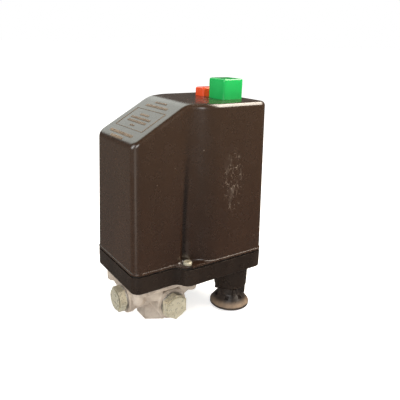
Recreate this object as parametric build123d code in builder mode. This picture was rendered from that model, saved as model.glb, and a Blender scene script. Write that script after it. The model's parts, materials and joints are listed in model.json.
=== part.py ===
from build123d import *
import os
from math import atan2, cos, degrees, radians, sin, tan

# Pressure switch for an air compressor, in millimetres.
# Origin: centre of the mouth of the threaded inlet, on the underside of the manifold.
# +Z is up, -Y is the narrow slanted front, +Y is the cable side, X is the width.

# ---------------------------------------------------------------- enclosure
FRONT_Y = -37.4
REAR_Y = 83.2
FRONT_HALF = 36.0
REAR_HALF = 45.0
FRONT_CORNER = 7.0
REAR_CORNER = 7.5
LIP_BEND_START = -4.0
LIP_BEND_END = 10.0

TRAY_BOTTOM = 43.0
TRAY_TOP = 57.4
TRAY_FLOOR = 3.2
TRAY_WALL = 3.0
TRAY_EDGE_RADIUS = 1.2
SEAM_GAP = 1.0
GASKET_INSET = 1.2
GASKET_WIDTH = 1.6
LIP_BOTTOM = TRAY_TOP + SEAM_GAP
LIP_THICKNESS = 2.4
LIP_TOP = LIP_BOTTOM + LIP_THICKNESS
LIP_PROUD = 0.6

COVER_TOP = 185.5
COVER_WALL = 2.6
ROOF_MARGIN = 10.0
CORNER_EASE = 0.8
SLOPE_FOOT_Z = 157.2
SLOPE_END_Y = 11.6
SLOPE_BREAK_RADIUS = 22.0
TOP_EDGE_RADIUS = 3.0
FRONT_DRAFT = 1.28
REAR_DRAFT = 0.74
SIDE_DRAFT = 1.75
WALL_BEND_START = 6.0
WALL_BEND_END = 34.0

SCREW_X = 39.3
SCREW_Y = 8.3
SCREW_R = 2.0
SCREW_HEAD_R = 3.5
SCREW_HEAD_HEIGHT = 2.4
SCREW_DOME_RADIUS = 1.0
SCREW_CROSS = 4.2
SCREW_LENGTH = 14.0
BOSS_R = 4.4
GROOVE_R = 5.6
GROOVE_LEAN = 0.018
GROOVE_HEIGHT = 92.0

# ---------------------------------------------------------------- general fits
RUNNING_GAP = 0.05
CLEARANCE = 0.2

# ---------------------------------------------------------------- buttons
BUTTON_FRONT_Y = 51.4
GREEN_X = 10.0
GREEN_WIDTH = 21.0
GREEN_DEPTH = 19.0
GREEN_RISE = 16.0
RED_X = -14.0
RED_WIDTH = 12.5
RED_DEPTH = 15.0
RED_RISE = 7.0
BUTTON_SKIRT = 19.0
BUTTON_EDGE_RADIUS = 1.2
BUTTON_WALL = 2.2
BUTTON_GAP = 0.5
BUTTON_TRAVEL = 5.0
BUTTON_STEM_R = 3.2
BUTTON_FOOT_R = 1.4
ROCKER_ARM = (GREEN_X - RED_X) / 2
ROCKER_X = (GREEN_X + RED_X) / 2
ROCKER_Y = BUTTON_FRONT_Y + GREEN_DEPTH / 2
ROCKER_Z = 158.0
ROCKER_TIP_R = 2.0
ROCKER_WEB = 2.4
ROCKER_HUB_R = 4.0
ROCKER_HALF = 3.0
ROCKER_PIN_R = 1.5
ROCKER_SWING = degrees(BUTTON_TRAVEL / 2 / ROCKER_ARM)
BUTTON_COIL_R = 4.6
BUTTON_WIRE_R = 0.5
BUTTON_COILS = 9

# ---------------------------------------------------------------- manifold
MANIFOLD_TOP = 41.8
PLATE_HALF = 32.4
PLATE_FRONT_Y = -32.8
PLATE_REAR_Y = 29.9
PLATE_THICKNESS = 4.0
PORT_Z = 22.6
PORT_SIDES = (0, 90, -90)
PLUG_TURNS = (0, 30, 30)
PORT_REACH = 29.8
PORT_R = 12.2
COLLAR_R = 13.4
COLLAR_WIDTH = 5.0
PLUG_AF = 19.0
PLUG_HEAD = 6.6
PLUG_CHAMFER = 0.8
PLUG_CHAMFER_ANGLE = 60
PLUG_THREAD_R = 6.5
PLUG_THREAD_LENGTH = 10.0
WASHER_THICKNESS = 1.3
PLUG_FACE = PORT_REACH + WASHER_THICKNESS + PLUG_HEAD
WASHER_R = 10.6
INLET_AF = 27.0
INLET_HEX_HEIGHT = 11.0
INLET_R = 9.3
INLET_DEPTH = 15.0
PASSAGE_R = 4.0
BODY_R = 15.0
DISH_R = 26.0
DISH_HEIGHT = 9.0
DISH_TAPER = 20.0
LUG_X = 24.5
LUG_FRONT_Y = -27.9
LUG_REAR_Y = 21.5
LUG_R = 4.9
LUG_BOTTOM = 28.0
LUG_END_RADIUS = 2.4
FLANGE_SCREW_R = 2.5
FLANGE_HEAD_R = 4.1
FLANGE_HEAD_HEIGHT = 4.0
FLANGE_SCREW_LENGTH = 16.0

# ---------------------------------------------------------------- pressure mechanism
DIAPHRAGM_R = 24.0
CHAMBER_R = 16.0
CHAMBER_DEPTH = 4.0
PISTON_R = 14.0
PISTON_DISC = 2.0
PISTON_STEM_R = 5.0
PISTON_PIN_R = 3.0
PISTON_OPENING_R = 15.0

FRAME_SHEET = 2.5
FRAME_BOTTOM = TRAY_BOTTOM + TRAY_FLOOR
FRAME_FLOOR_TOP = FRAME_BOTTOM + FRAME_SHEET
FRAME_TOP = 112.0
FRAME_HALF = 31.4
FRAME_FRONT_Y = -32.0
FRAME_REAR_Y = 29.5
CHEEK_INNER = 17.0
CHEEK_SHEET = 2.0
CHEEK_REAR_Y = 27.0
CHEEK_TALL_Y = -13.0
CHEEK_WINDOW_HEIGHT = 22.0
WINDOW_EDGE = 7.0
EARTH_SCREW_X = 25.0
EARTH_SCREW_Y = -8.0
CLIP_THICKNESS = 0.8

LEVER_PIVOT_Y = -24.0
LEVER_PIVOT_Z = 57.0
LEVER_PIN_R = 2.0
LEVER_EAR_R = 4.2
LEVER_EAR_WIDTH = 4.0
LEVER_BOTTOM = 59.5
LEVER_SHEET = 2.5
LEVER_TOP = LEVER_BOTTOM + LEVER_SHEET
LEVER_HALF = 14.0
LEVER_TIP_Y = 37.5
LEVER_HOLE_R = 4.2
SEAT_GAP = 0.4
SEAT_PAD_R = 5.5
SEAT_PAD = 0.8
SEAT_R = 11.5
SEAT_BOSS_R = 7.0
SEAT_SHEET = 2.4
SEAT_BOSS = 2.0
SEAT_TOP = LEVER_TOP + SEAT_GAP + SEAT_PAD + SEAT_SHEET

RANGE_WIRE_R = 1.3
RANGE_COIL_R = 8.8
RANGE_COILS = 5.5
RANGE_SCREW_R = 4.0
RANGE_SCREW_FOOT = 74.0
RANGE_HEAD_AF = 13.0
RANGE_HEAD_HEIGHT = 6.5
RANGE_NUT_TOP = 104.0
RANGE_NUT_THICKNESS = 6.0
RANGE_NUT_DEPTH = 24.0
DIFF_Y = 20.5
DIFF_WIRE_R = 0.7
DIFF_COIL_R = 4.6
DIFF_COILS = 7.0
DIFF_SCREW_R = 2.5
DIFF_SCREW_FOOT = 70.0
DIFF_HEAD_AF = 8.0
DIFF_HEAD_HEIGHT = 4.0
DIFF_NUT_TOP = 88.0
DIFF_NUT_THICKNESS = 4.0
DIFF_NUT_DEPTH = 10.0

# ---------------------------------------------------------------- electrical parts
PLATE_BOTTOM = 66.0
BLOCK_PLATE = 4.0
BLOCK_PLATE_HALF = 40.8
BLOCK_PLATE_FRONT_Y = 40.0
BLOCK_PLATE_REAR_Y = 77.8
BLOCK_HALF = 34.0
BLOCK_FRONT_Y = 42.0
BLOCK_REAR_Y = 75.0
BLOCK_TOP = 104.0
POLE_PITCH = 20.0
POLES = 3
SLOT_WIDTH = 13.0
SLOT_FLOOR = 74.0
SLOT_ROOF = 94.0
LEDGE_HALF = 26.0
LEDGE_FRONT_Y = 28.2
POST_R = 3.6
POST_X = 37.2
POST_FRONT_Y = 43.6
POST_REAR_Y = 74.2
BLOCK_SCREW_R = 1.5
FOOT_X = 10.0
FOOT_WIDTH = 6.0
FOOT_Y = 36.0
FOOT_DEPTH = 2.0
FOOT_GAP = 0.15
BAR_FRONT_Y = 35.0
BAR_REAR_Y = 39.0
BAR_HALF = 24.0
FINGER_BOTTOM = 84.0
FINGER_HEIGHT = 4.0
FINGER_WIDTH = 5.0
FINGER_REAR_Y = 61.0
CONTACT_Y = 58.0
CONTACT_SPREAD = 8.0
CONTACT_R = 2.0
CONTACT_GAP = 0.05
STRIP_WIDTH = 8.0
STRIP_THICKNESS = 1.2
TIP_TOP = 77.3
BRIDGE_BOTTOM = 79.0
BRIDGE_THICKNESS = 1.6
BRIDGE_WIDTH = 7.0
BRIDGE_LENGTH = 22.0
GUIDE_R = 1.5
GUIDE_HEAD_R = 2.6
TERMINAL_Y = 31.5
NOSE_HALF = 8.0
NOSE_BOTTOM = 96.0
CARRIER_COIL_R = 3.2
CARRIER_WIRE_R = 0.35
CARRIER_COILS = 4
RELAY_FRONT_Y = 46.0
RELAY_TOP = 138.0
DIAL_R = 7.0
DIAL_Z = 121.0
DIAL_HEIGHT = 4.0
DIAL_SLOT = 9.8
DIAL_SPINDLE_R = 3.0
DIAL_SPINDLE = 6.0
HOUSING_HALF = 28.0
HOUSING_FRONT_Y = 50.0
HOUSING_REAR_Y = 74.0
HOUSING_TOP = 172.0
HOUSING_ROOF = 6.0
HOUSING_WALL = 4.0
HOUSING_FLOOR = 10.0
HOUSING_CORNER = 2.0

# ---------------------------------------------------------------- cable entries
GLAND_X = 22.6
GLAND_Y = 66.6
GLAND_AXIS = Axis((GLAND_X, GLAND_Y, 0), (0, 0, 1))
ENTRY_WASHER_R = 17.2
GLAND_BARREL_TOP = TRAY_BOTTOM - 2.5
BLANK_HEAD_R = 14.0
BLANK_HEAD_HEIGHT = 4.0
GLAND_BARREL_R = 15.0
GLAND_BARREL_LOW_R = 14.5
GLAND_BARREL_BOTTOM = 19.2
GLAND_BARREL_EDGE = 2.0
GLAND_THREAD_R = 10.0
GLAND_THREAD_TOP = 52.0
GLAND_BORE_R = 7.5
GLAND_SOCKET_R = 9.9
GLAND_SOCKET_TOP = 34.0
SEAL_BOTTOM = 27.0
SEAL_BORE_R = 6.2
LOCKNUT_AF = 22.0
LOCKNUT_HEIGHT = 4.0
TRUMPET_BORE_R = 7.2
TRUMPET_NECK_R = 10.5
TRUMPET_NECK_BOTTOM = 12.5
TRUMPET_RIM_R = 17.7
TRUMPET_RIM_TOP = 3.2
TRUMPET_BOTTOM = 1.2
TRUMPET_WALL = 2.0
TRUMPET_RIB_R = 13.3
TRUMPET_RIB_WIDTH = 2.2
TRUMPET_ARMS = 6
POCKET_WIDTH = 3.6
POCKET_BOTTOM = 8.6
POCKET_TOP = 11.9
POCKET_FLOOR_R = 11.0
POCKET_ANGLE = 10.0


def outline(front_half, rear_half, front_y, rear_y, bend_start, bend_end, front_radius, rear_radius):
    """Plan of the enclosure: narrow front, wide rear, joined on each side by an S-bend of two arcs."""
    step = rear_half - front_half
    run = bend_end - bend_start
    bend_radius = (step**2 + run**2) / (4 * step)
    bend_angle = degrees(2 * atan2(step, run))
    with BuildLine() as plan:
        front_corner = JernArc((front_half - front_radius, front_y), (1, 0), front_radius, 90)
        side = Line(front_corner @ 1, (front_half, bend_start))
        hollow = JernArc(side @ 1, (0, 1), bend_radius, -bend_angle)
        bulge = JernArc(hollow @ 1, hollow % 1, bend_radius, bend_angle)
        flank = Line(bulge @ 1, (rear_half, rear_y - rear_radius))
        JernArc(flank @ 1, (0, 1), rear_radius, 90)
        mirror(about=Plane.YZ)
        Line((front_radius - front_half, front_y), (front_half - front_radius, front_y))
        Line((rear_radius - rear_half, rear_y), (rear_half - rear_radius, rear_y))
    return plan.edges()


def lip_outline(inset):
    """Outline shared by the tray and the cover's lip, moved inwards by inset."""
    return outline(
        FRONT_HALF - inset, REAR_HALF - inset, FRONT_Y + inset, REAR_Y - inset,
        LIP_BEND_START, LIP_BEND_END, FRONT_CORNER - inset, REAR_CORNER - inset,
    )


def wall_outline(height, inset):
    """Outline of the drafted cover wall at a height above the lip, moved inwards by inset."""
    side = LIP_PROUD + inset + height * tan(radians(SIDE_DRAFT))
    return outline(
        FRONT_HALF - side, REAR_HALF - side,
        FRONT_Y + LIP_PROUD + inset + height * tan(radians(FRONT_DRAFT)),
        REAR_Y - LIP_PROUD - inset - height * tan(radians(REAR_DRAFT)),
        WALL_BEND_START, WALL_BEND_END,
        FRONT_CORNER - LIP_PROUD - inset * CORNER_EASE, REAR_CORNER - LIP_PROUD - inset * CORNER_EASE,
    )


def side_profile(drop):
    """Side view of the cover's roof: slanted front, rounded break, flat rear, lowered by drop."""
    pitch = atan2(COVER_TOP - SLOPE_FOOT_Z, SLOPE_END_Y - FRONT_Y)
    low_y = FRONT_Y - ROOF_MARGIN
    high_y = REAR_Y + ROOF_MARGIN
    low_z = SLOPE_FOOT_Z - ROOF_MARGIN * tan(pitch) - drop / cos(pitch)
    break_y = SLOPE_END_Y + drop * tan(pitch / 2)
    roof_z = COVER_TOP - drop
    with BuildLine() as roof:
        Polyline(
            (low_y, TRAY_BOTTOM), (low_y, low_z), (break_y, roof_z), (high_y, roof_z),
            (high_y, TRAY_BOTTOM), close=True,
        )
        fillet(roof.vertices().group_by(Axis.X)[1], radius=SLOPE_BREAK_RADIUS - drop)
    return roof.edges()


def mirrored(x, y):
    """The same place on both sides of the middle plane."""
    return [(x, y), (-x, y)]


def port_plane(side):
    """Plane through the port axes' meeting point that faces out of the port at an angle from -Y."""
    turn = radians(side)
    return Plane(origin=(0, 0, PORT_Z), x_dir=(cos(turn), sin(turn), 0), z_dir=(sin(turn), -cos(turn), 0))


def coil(radius, bottom, top, wire_radius, turns, y, x=0):
    """Centre line of a compression spring that stands between two heights."""
    height = top - bottom - 2 * wire_radius
    return Helix(pitch=height / turns, height=height, radius=radius, center=(x, y, bottom + wire_radius))


# ================================================================ enclosure parts
COVER_LOFT = COVER_TOP - LIP_TOP + TOP_EDGE_RADIUS
TRAY_HEIGHT = TRAY_TOP - TRAY_BOTTOM
RED_TOP = COVER_TOP + RED_RISE
GREEN_TOP = COVER_TOP + GREEN_RISE
RED_Y = BUTTON_FRONT_Y + RED_DEPTH / 2
GREEN_Y = BUTTON_FRONT_Y + GREEN_DEPTH / 2

# Hollow of the cover, following its walls and roof at the wall thickness.
with BuildPart() as cavity:
    with BuildSketch(Plane.XY.offset(LIP_TOP)):
        make_face(wall_outline(0, COVER_WALL))
    with BuildSketch(Plane.XY.offset(LIP_TOP + COVER_LOFT)):
        make_face(wall_outline(COVER_LOFT, COVER_WALL))
    loft(ruled=True)
    with BuildSketch(Plane.YZ):
        make_face(side_profile(COVER_WALL))
    extrude(amount=2 * REAR_HALF, both=True, mode=Mode.INTERSECT)

with BuildPart() as cover:
    # drafted walls under a roof that slants down to the front
    with BuildSketch(Plane.XY.offset(LIP_TOP)):
        make_face(wall_outline(0, 0))
    with BuildSketch(Plane.XY.offset(LIP_TOP + COVER_LOFT)):
        make_face(wall_outline(COVER_LOFT, 0))
    loft(ruled=True)
    with BuildSketch(Plane.YZ):
        make_face(side_profile(0))
    extrude(amount=2 * REAR_HALF, both=True, mode=Mode.INTERSECT)
    roof_edges = cover.edges().filter_by(lambda e: e.center().Z > SLOPE_FOOT_Z - TOP_EDGE_RADIUS)
    rim = roof_edges.filter_by(lambda e: abs(e.center().X) > 1 or not 0 < e.center().Y < REAR_Y / 2)
    fillet(rim, radius=TOP_EDGE_RADIUS)
    # upright grooves that let a screwdriver reach the cover screws
    for side in (1, -1):
        groove_foot = (side * SCREW_X, SCREW_Y, LIP_TOP)
        with BuildSketch(Plane(origin=groove_foot, z_dir=(-side * GROOVE_LEAN, 0, 1))):
            Circle(GROOVE_R)
        extrude(amount=GROOVE_HEIGHT, mode=Mode.SUBTRACT)
    add(cavity.part, mode=Mode.SUBTRACT)
    # flat lip that stands on the gasket and widens to a ledge at the screws
    with BuildSketch(Plane.XY.offset(LIP_BOTTOM)):
        make_face(lip_outline(0))
        make_face(wall_outline(0, COVER_WALL), mode=Mode.SUBTRACT)
        with Locations(*mirrored(SCREW_X, SCREW_Y)):
            Circle(SCREW_R + CLEARANCE, mode=Mode.SUBTRACT)
    extrude(amount=LIP_THICKNESS)
    # windows for the two buttons
    with BuildSketch(Plane.XY.offset(COVER_TOP - 2 * COVER_WALL)):
        with Locations((GREEN_X, GREEN_Y)):
            Rectangle(GREEN_WIDTH + 2 * BUTTON_GAP, GREEN_DEPTH + 2 * BUTTON_GAP)
        with Locations((RED_X, RED_Y)):
            Rectangle(RED_WIDTH + 2 * BUTTON_GAP, RED_DEPTH + 2 * BUTTON_GAP)
    extrude(amount=3 * COVER_WALL, mode=Mode.SUBTRACT)

with BuildPart() as cover_screws:
    with BuildSketch(Plane.XY.offset(LIP_TOP - SCREW_LENGTH)):
        with Locations(*mirrored(SCREW_X, SCREW_Y)):
            Circle(SCREW_R)
    extrude(amount=SCREW_LENGTH)
    with BuildSketch(Plane.XY.offset(LIP_TOP)):
        with Locations(*mirrored(SCREW_X, SCREW_Y)):
            Circle(SCREW_HEAD_R)
    extrude(amount=SCREW_HEAD_HEIGHT)
    fillet(cover_screws.edges().group_by(Axis.Z)[-1], radius=SCREW_DOME_RADIUS)
    with BuildSketch(Plane.XY.offset(LIP_TOP + SCREW_HEAD_HEIGHT)):
        with Locations(*mirrored(SCREW_X, SCREW_Y)):
            Rectangle(SCREW_CROSS, SCREW_R / 2)
            Rectangle(SCREW_R / 2, SCREW_CROSS)
    extrude(amount=-SCREW_HEAD_HEIGHT / 2, mode=Mode.SUBTRACT)

with BuildPart() as cover_gasket:
    with BuildSketch(Plane.XY.offset(TRAY_TOP)):
        make_face(lip_outline(GASKET_INSET))
        make_face(lip_outline(GASKET_INSET + GASKET_WIDTH), mode=Mode.SUBTRACT)
    extrude(amount=SEAM_GAP)

with BuildPart() as base_tray:
    with BuildSketch(Plane.XY.offset(TRAY_BOTTOM)):
        make_face(lip_outline(0))
    extrude(amount=TRAY_TOP - TRAY_BOTTOM)
    fillet(base_tray.edges().group_by(Axis.Z)[0], radius=TRAY_EDGE_RADIUS)
    with BuildSketch(Plane.XY.offset(FRAME_BOTTOM)):
        make_face(lip_outline(TRAY_WALL))
    extrude(amount=TRAY_HEIGHT, mode=Mode.SUBTRACT)
    # bosses for the cover screws
    with BuildSketch(Plane.XY.offset(FRAME_BOTTOM)):
        with Locations(*mirrored(SCREW_X, SCREW_Y)):
            Circle(BOSS_R)
        make_face(lip_outline(TRAY_WALL / 2), mode=Mode.INTERSECT)
    extrude(amount=TRAY_TOP - FRAME_BOTTOM)
    with BuildSketch(Plane.XY.offset(TRAY_TOP)):
        with Locations(*mirrored(SCREW_X, SCREW_Y)):
            Circle(SCREW_R + RUNNING_GAP)
    extrude(amount=FRAME_BOTTOM - TRAY_TOP, mode=Mode.SUBTRACT)
    # posts that carry the contact block
    with BuildSketch(Plane.XY.offset(FRAME_BOTTOM)):
        with Locations(*mirrored(POST_X, POST_FRONT_Y), *mirrored(POST_X, POST_REAR_Y)):
            Circle(POST_R)
    extrude(amount=PLATE_BOTTOM - FRAME_BOTTOM)
    with BuildSketch(Plane.XY.offset(PLATE_BOTTOM)):
        with Locations(*mirrored(POST_X, POST_FRONT_Y), *mirrored(POST_X, POST_REAR_Y)):
            Circle(BLOCK_SCREW_R + RUNNING_GAP)
    extrude(amount=FRAME_BOTTOM - PLATE_BOTTOM, mode=Mode.SUBTRACT)
    # openings for the piston, the flange screws and the cable glands
    with BuildSketch(Plane.XY.offset(TRAY_BOTTOM)):
        Circle(PISTON_OPENING_R)
        with Locations(*mirrored(LUG_X, LUG_FRONT_Y), *mirrored(LUG_X, LUG_REAR_Y)):
            Circle(FLANGE_SCREW_R + CLEARANCE)
        with Locations(*mirrored(GLAND_X, GLAND_Y)):
            Circle(GLAND_THREAD_R + RUNNING_GAP)
    extrude(amount=TRAY_FLOOR, mode=Mode.SUBTRACT)


# ================================================================ push buttons
with BuildPart() as green_button:
    with BuildSketch(Plane.XY.offset(GREEN_TOP)):
        with Locations((GREEN_X, GREEN_Y)):
            Rectangle(GREEN_WIDTH, GREEN_DEPTH)
    extrude(amount=-GREEN_RISE - COVER_WALL - BUTTON_TRAVEL)
    fillet(green_button.edges().filter_by(Axis.Z), radius=BUTTON_EDGE_RADIUS)
    fillet(green_button.edges().group_by(Axis.Z)[-1], radius=BUTTON_EDGE_RADIUS)
    with BuildSketch(Plane.XY.offset(GREEN_TOP - BUTTON_WALL)):
        with Locations((GREEN_X, GREEN_Y)):
            Rectangle(GREEN_WIDTH - 2 * BUTTON_WALL, GREEN_DEPTH - 2 * BUTTON_WALL)
    extrude(amount=-GREEN_TOP + HOUSING_TOP, mode=Mode.SUBTRACT)
    green_foot = ROCKER_Z + ROCKER_ARM * sin(radians(ROCKER_SWING)) + ROCKER_TIP_R + CLEARANCE
    with BuildSketch(Plane.XY.offset(GREEN_TOP - BUTTON_WALL)):
        with Locations((GREEN_X, GREEN_Y)):
            Circle(BUTTON_STEM_R)
    extrude(amount=HOUSING_TOP - HOUSING_ROOF - GREEN_TOP + BUTTON_WALL)
    with BuildSketch(Plane.XY.offset(HOUSING_TOP)):
        with Locations((GREEN_X, GREEN_Y)):
            Circle(BUTTON_FOOT_R)
    extrude(amount=green_foot - HOUSING_TOP)

with BuildPart() as red_button:
    with BuildSketch(Plane.XY.offset(RED_TOP)):
        with Locations((RED_X, RED_Y)):
            Rectangle(RED_WIDTH, RED_DEPTH)
    extrude(amount=-BUTTON_SKIRT)
    fillet(red_button.edges().filter_by(Axis.Z), radius=BUTTON_EDGE_RADIUS)
    fillet(red_button.edges().group_by(Axis.Z)[-1], radius=BUTTON_EDGE_RADIUS)
    with BuildSketch(Plane.XY.offset(RED_TOP - BUTTON_WALL)):
        with Locations((RED_X, RED_Y)):
            Rectangle(RED_WIDTH - 2 * BUTTON_WALL, RED_DEPTH - 2 * BUTTON_WALL)
    extrude(amount=-BUTTON_SKIRT, mode=Mode.SUBTRACT)
    red_foot = ROCKER_Z - ROCKER_ARM * sin(radians(ROCKER_SWING)) + ROCKER_TIP_R + CLEARANCE
    with BuildSketch(Plane.XY.offset(RED_TOP - BUTTON_WALL)):
        with Locations((RED_X, ROCKER_Y)):
            Circle(BUTTON_STEM_R)
    extrude(amount=HOUSING_TOP - HOUSING_ROOF - RED_TOP + BUTTON_WALL)
    with BuildSketch(Plane.XY.offset(HOUSING_TOP)):
        with Locations((RED_X, ROCKER_Y)):
            Circle(BUTTON_FOOT_R)
    extrude(amount=red_foot - HOUSING_TOP)

with BuildPart() as button_rocker:
    with BuildSketch(Plane.XZ.offset(-ROCKER_Y)):
        with Locations((ROCKER_X, ROCKER_Z)):
            SlotCenterToCenter(2 * ROCKER_ARM, ROCKER_WEB, rotation=ROCKER_SWING)
            with PolarLocations(ROCKER_ARM, 2, start_angle=ROCKER_SWING):
                Circle(ROCKER_TIP_R)
            Circle(ROCKER_HUB_R)
            Circle(ROCKER_PIN_R + RUNNING_GAP, mode=Mode.SUBTRACT)
    extrude(amount=ROCKER_HALF, both=True)

with BuildPart() as rocker_pin:
    with BuildSketch(Plane.XZ.offset(-HOUSING_FRONT_Y)):
        with Locations((ROCKER_X, ROCKER_Z)):
            Circle(ROCKER_PIN_R)
    extrude(amount=HOUSING_FRONT_Y - HOUSING_REAR_Y)

with BuildPart() as button_housing:
    with BuildSketch(Plane.XY.offset(RELAY_TOP)):
        with Locations((0, (HOUSING_FRONT_Y + HOUSING_REAR_Y) / 2)):
            RectangleRounded(2 * HOUSING_HALF, HOUSING_REAR_Y - HOUSING_FRONT_Y, HOUSING_CORNER)
    extrude(amount=HOUSING_TOP - RELAY_TOP)
    # chamber in which the rocker swings
    with BuildSketch(Plane.XY.offset(RELAY_TOP + HOUSING_FLOOR)):
        with Locations((0, (HOUSING_FRONT_Y + HOUSING_REAR_Y) / 2)):
            Rectangle(2 * (HOUSING_HALF - HOUSING_WALL), HOUSING_REAR_Y - HOUSING_FRONT_Y - 2 * HOUSING_WALL)
    extrude(amount=HOUSING_TOP - HOUSING_ROOF - RELAY_TOP - HOUSING_FLOOR, mode=Mode.SUBTRACT)
    # guides for the button stems, and the pin's holes
    with BuildSketch(Plane.XY.offset(HOUSING_TOP)):
        with Locations((GREEN_X, GREEN_Y), (RED_X, ROCKER_Y)):
            Circle(BUTTON_STEM_R + RUNNING_GAP)
    extrude(amount=-2 * HOUSING_ROOF, mode=Mode.SUBTRACT)
    with BuildSketch(Plane.XZ.offset(-HOUSING_FRONT_Y)):
        with Locations((ROCKER_X, ROCKER_Z)):
            Circle(ROCKER_PIN_R)
    extrude(amount=HOUSING_FRONT_Y - HOUSING_REAR_Y, mode=Mode.SUBTRACT)

with BuildPart() as button_spring:
    with BuildLine():
        spring_line = coil(
            BUTTON_COIL_R, HOUSING_TOP, GREEN_TOP - BUTTON_WALL, BUTTON_WIRE_R, BUTTON_COILS, GREEN_Y, GREEN_X
        )
    with BuildSketch(Plane(origin=spring_line @ 0, z_dir=spring_line % 0)):
        Circle(BUTTON_WIRE_R)
    sweep()


# ================================================================ manifold and its fittings
with BuildPart() as manifold:
    # lugs with rounded feet under the corners of the flange
    with BuildSketch(Plane.XY.offset(LUG_BOTTOM)):
        with Locations(*mirrored(LUG_X, LUG_FRONT_Y), *mirrored(LUG_X, LUG_REAR_Y)):
            Circle(LUG_R)
    extrude(amount=MANIFOLD_TOP - LUG_BOTTOM)
    fillet(manifold.edges().group_by(Axis.Z)[0], radius=LUG_END_RADIUS)
    # flange, dish of the pressure chamber, round body and hexagon of the inlet
    with BuildSketch(Plane.XY.offset(MANIFOLD_TOP)):
        with Locations((0, (PLATE_FRONT_Y + PLATE_REAR_Y) / 2)):
            RectangleRounded(2 * PLATE_HALF, PLATE_REAR_Y - PLATE_FRONT_Y, LUG_R)
    extrude(amount=-PLATE_THICKNESS)
    with BuildSketch(Plane.XY.offset(MANIFOLD_TOP)):
        Circle(DISH_R)
    extrude(amount=-DISH_HEIGHT, taper=DISH_TAPER)
    with BuildSketch(Plane.XY.offset(INLET_HEX_HEIGHT)):
        Circle(BODY_R)
    extrude(amount=MANIFOLD_TOP - DISH_HEIGHT - INLET_HEX_HEIGHT)
    with BuildSketch():
        RegularPolygon(INLET_AF / 2, 6, major_radius=False, rotation=0)
    extrude(amount=INLET_HEX_HEIGHT)
    # side ports with thickened mouths
    for side in PORT_SIDES:
        facing = port_plane(side)
        with BuildSketch(facing):
            Circle(PORT_R)
        extrude(amount=PORT_REACH)
        with BuildSketch(facing.offset(PORT_REACH - COLLAR_WIDTH)):
            Circle(COLLAR_R)
        extrude(amount=COLLAR_WIDTH)
        with BuildSketch(facing):
            Circle(PLUG_THREAD_R)
        extrude(amount=PORT_REACH, mode=Mode.SUBTRACT)
    # inlet thread, passage and pressure chamber
    with BuildSketch():
        Circle(INLET_R)
    extrude(amount=INLET_DEPTH, mode=Mode.SUBTRACT)
    with BuildSketch():
        Circle(PASSAGE_R)
    extrude(amount=MANIFOLD_TOP, mode=Mode.SUBTRACT)
    with BuildSketch(Plane.XY.offset(MANIFOLD_TOP)):
        Circle(CHAMBER_R)
    extrude(amount=-CHAMBER_DEPTH, mode=Mode.SUBTRACT)
    # tapped blind holes for the flange screws
    with BuildSketch(Plane.XY.offset(MANIFOLD_TOP)):
        with Locations(*mirrored(LUG_X, LUG_FRONT_Y), *mirrored(LUG_X, LUG_REAR_Y)):
            Circle(FLANGE_SCREW_R + RUNNING_GAP)
    extrude(amount=LUG_BOTTOM + LUG_END_RADIUS - MANIFOLD_TOP, mode=Mode.SUBTRACT)


with BuildPart() as port_plugs:
    for side, turn in zip(PORT_SIDES, PLUG_TURNS):
        facing = port_plane(side)
        with BuildSketch(facing.offset(PLUG_FACE)):
            RegularPolygon(PLUG_AF / 2, 6, major_radius=False, rotation=turn)
        extrude(amount=-PLUG_HEAD)
        with BuildSketch(facing.offset(PLUG_FACE - PLUG_HEAD)):
            Circle(PLUG_THREAD_R - RUNNING_GAP)
        extrude(amount=-WASHER_THICKNESS - PLUG_THREAD_LENGTH)
    # hexagon corners turned off by a cone
    for side in PORT_SIDES:
        facing = port_plane(side)
        with BuildSketch(facing.offset(PLUG_FACE)):
            Circle(PLUG_AF)
            Circle(PLUG_AF / 2 - PLUG_CHAMFER / 2, mode=Mode.SUBTRACT)
        extrude(amount=-PLUG_CHAMFER, taper=-PLUG_CHAMFER_ANGLE, mode=Mode.SUBTRACT)

with BuildPart() as plug_washers:
    for side in PORT_SIDES:
        with BuildSketch(port_plane(side).offset(PORT_REACH)):
            Circle(WASHER_R)
            Circle(PLUG_THREAD_R, mode=Mode.SUBTRACT)
        extrude(amount=WASHER_THICKNESS)

with BuildPart() as flange_screws:
    with BuildSketch(Plane.XY.offset(FRAME_FLOOR_TOP)):
        with Locations(*mirrored(LUG_X, LUG_FRONT_Y), *mirrored(LUG_X, LUG_REAR_Y)):
            Circle(FLANGE_HEAD_R)
    extrude(amount=FLANGE_HEAD_HEIGHT)
    with BuildSketch(Plane.XY.offset(FRAME_FLOOR_TOP + FLANGE_HEAD_HEIGHT)):
        with Locations(*mirrored(LUG_X, LUG_FRONT_Y), *mirrored(LUG_X, LUG_REAR_Y)):
            RegularPolygon(FLANGE_HEAD_R / 2, 6)
    extrude(amount=-FLANGE_HEAD_HEIGHT / 2, mode=Mode.SUBTRACT)
    with BuildSketch(Plane.XY.offset(FRAME_FLOOR_TOP)):
        with Locations(*mirrored(LUG_X, LUG_FRONT_Y), *mirrored(LUG_X, LUG_REAR_Y)):
            Circle(FLANGE_SCREW_R)
    extrude(amount=-FLANGE_SCREW_LENGTH)


# ================================================================ pressure mechanism
with BuildPart() as diaphragm:
    with BuildSketch(Plane.XY.offset(MANIFOLD_TOP)):
        Circle(DIAPHRAGM_R)
    extrude(amount=TRAY_BOTTOM - MANIFOLD_TOP)

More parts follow.
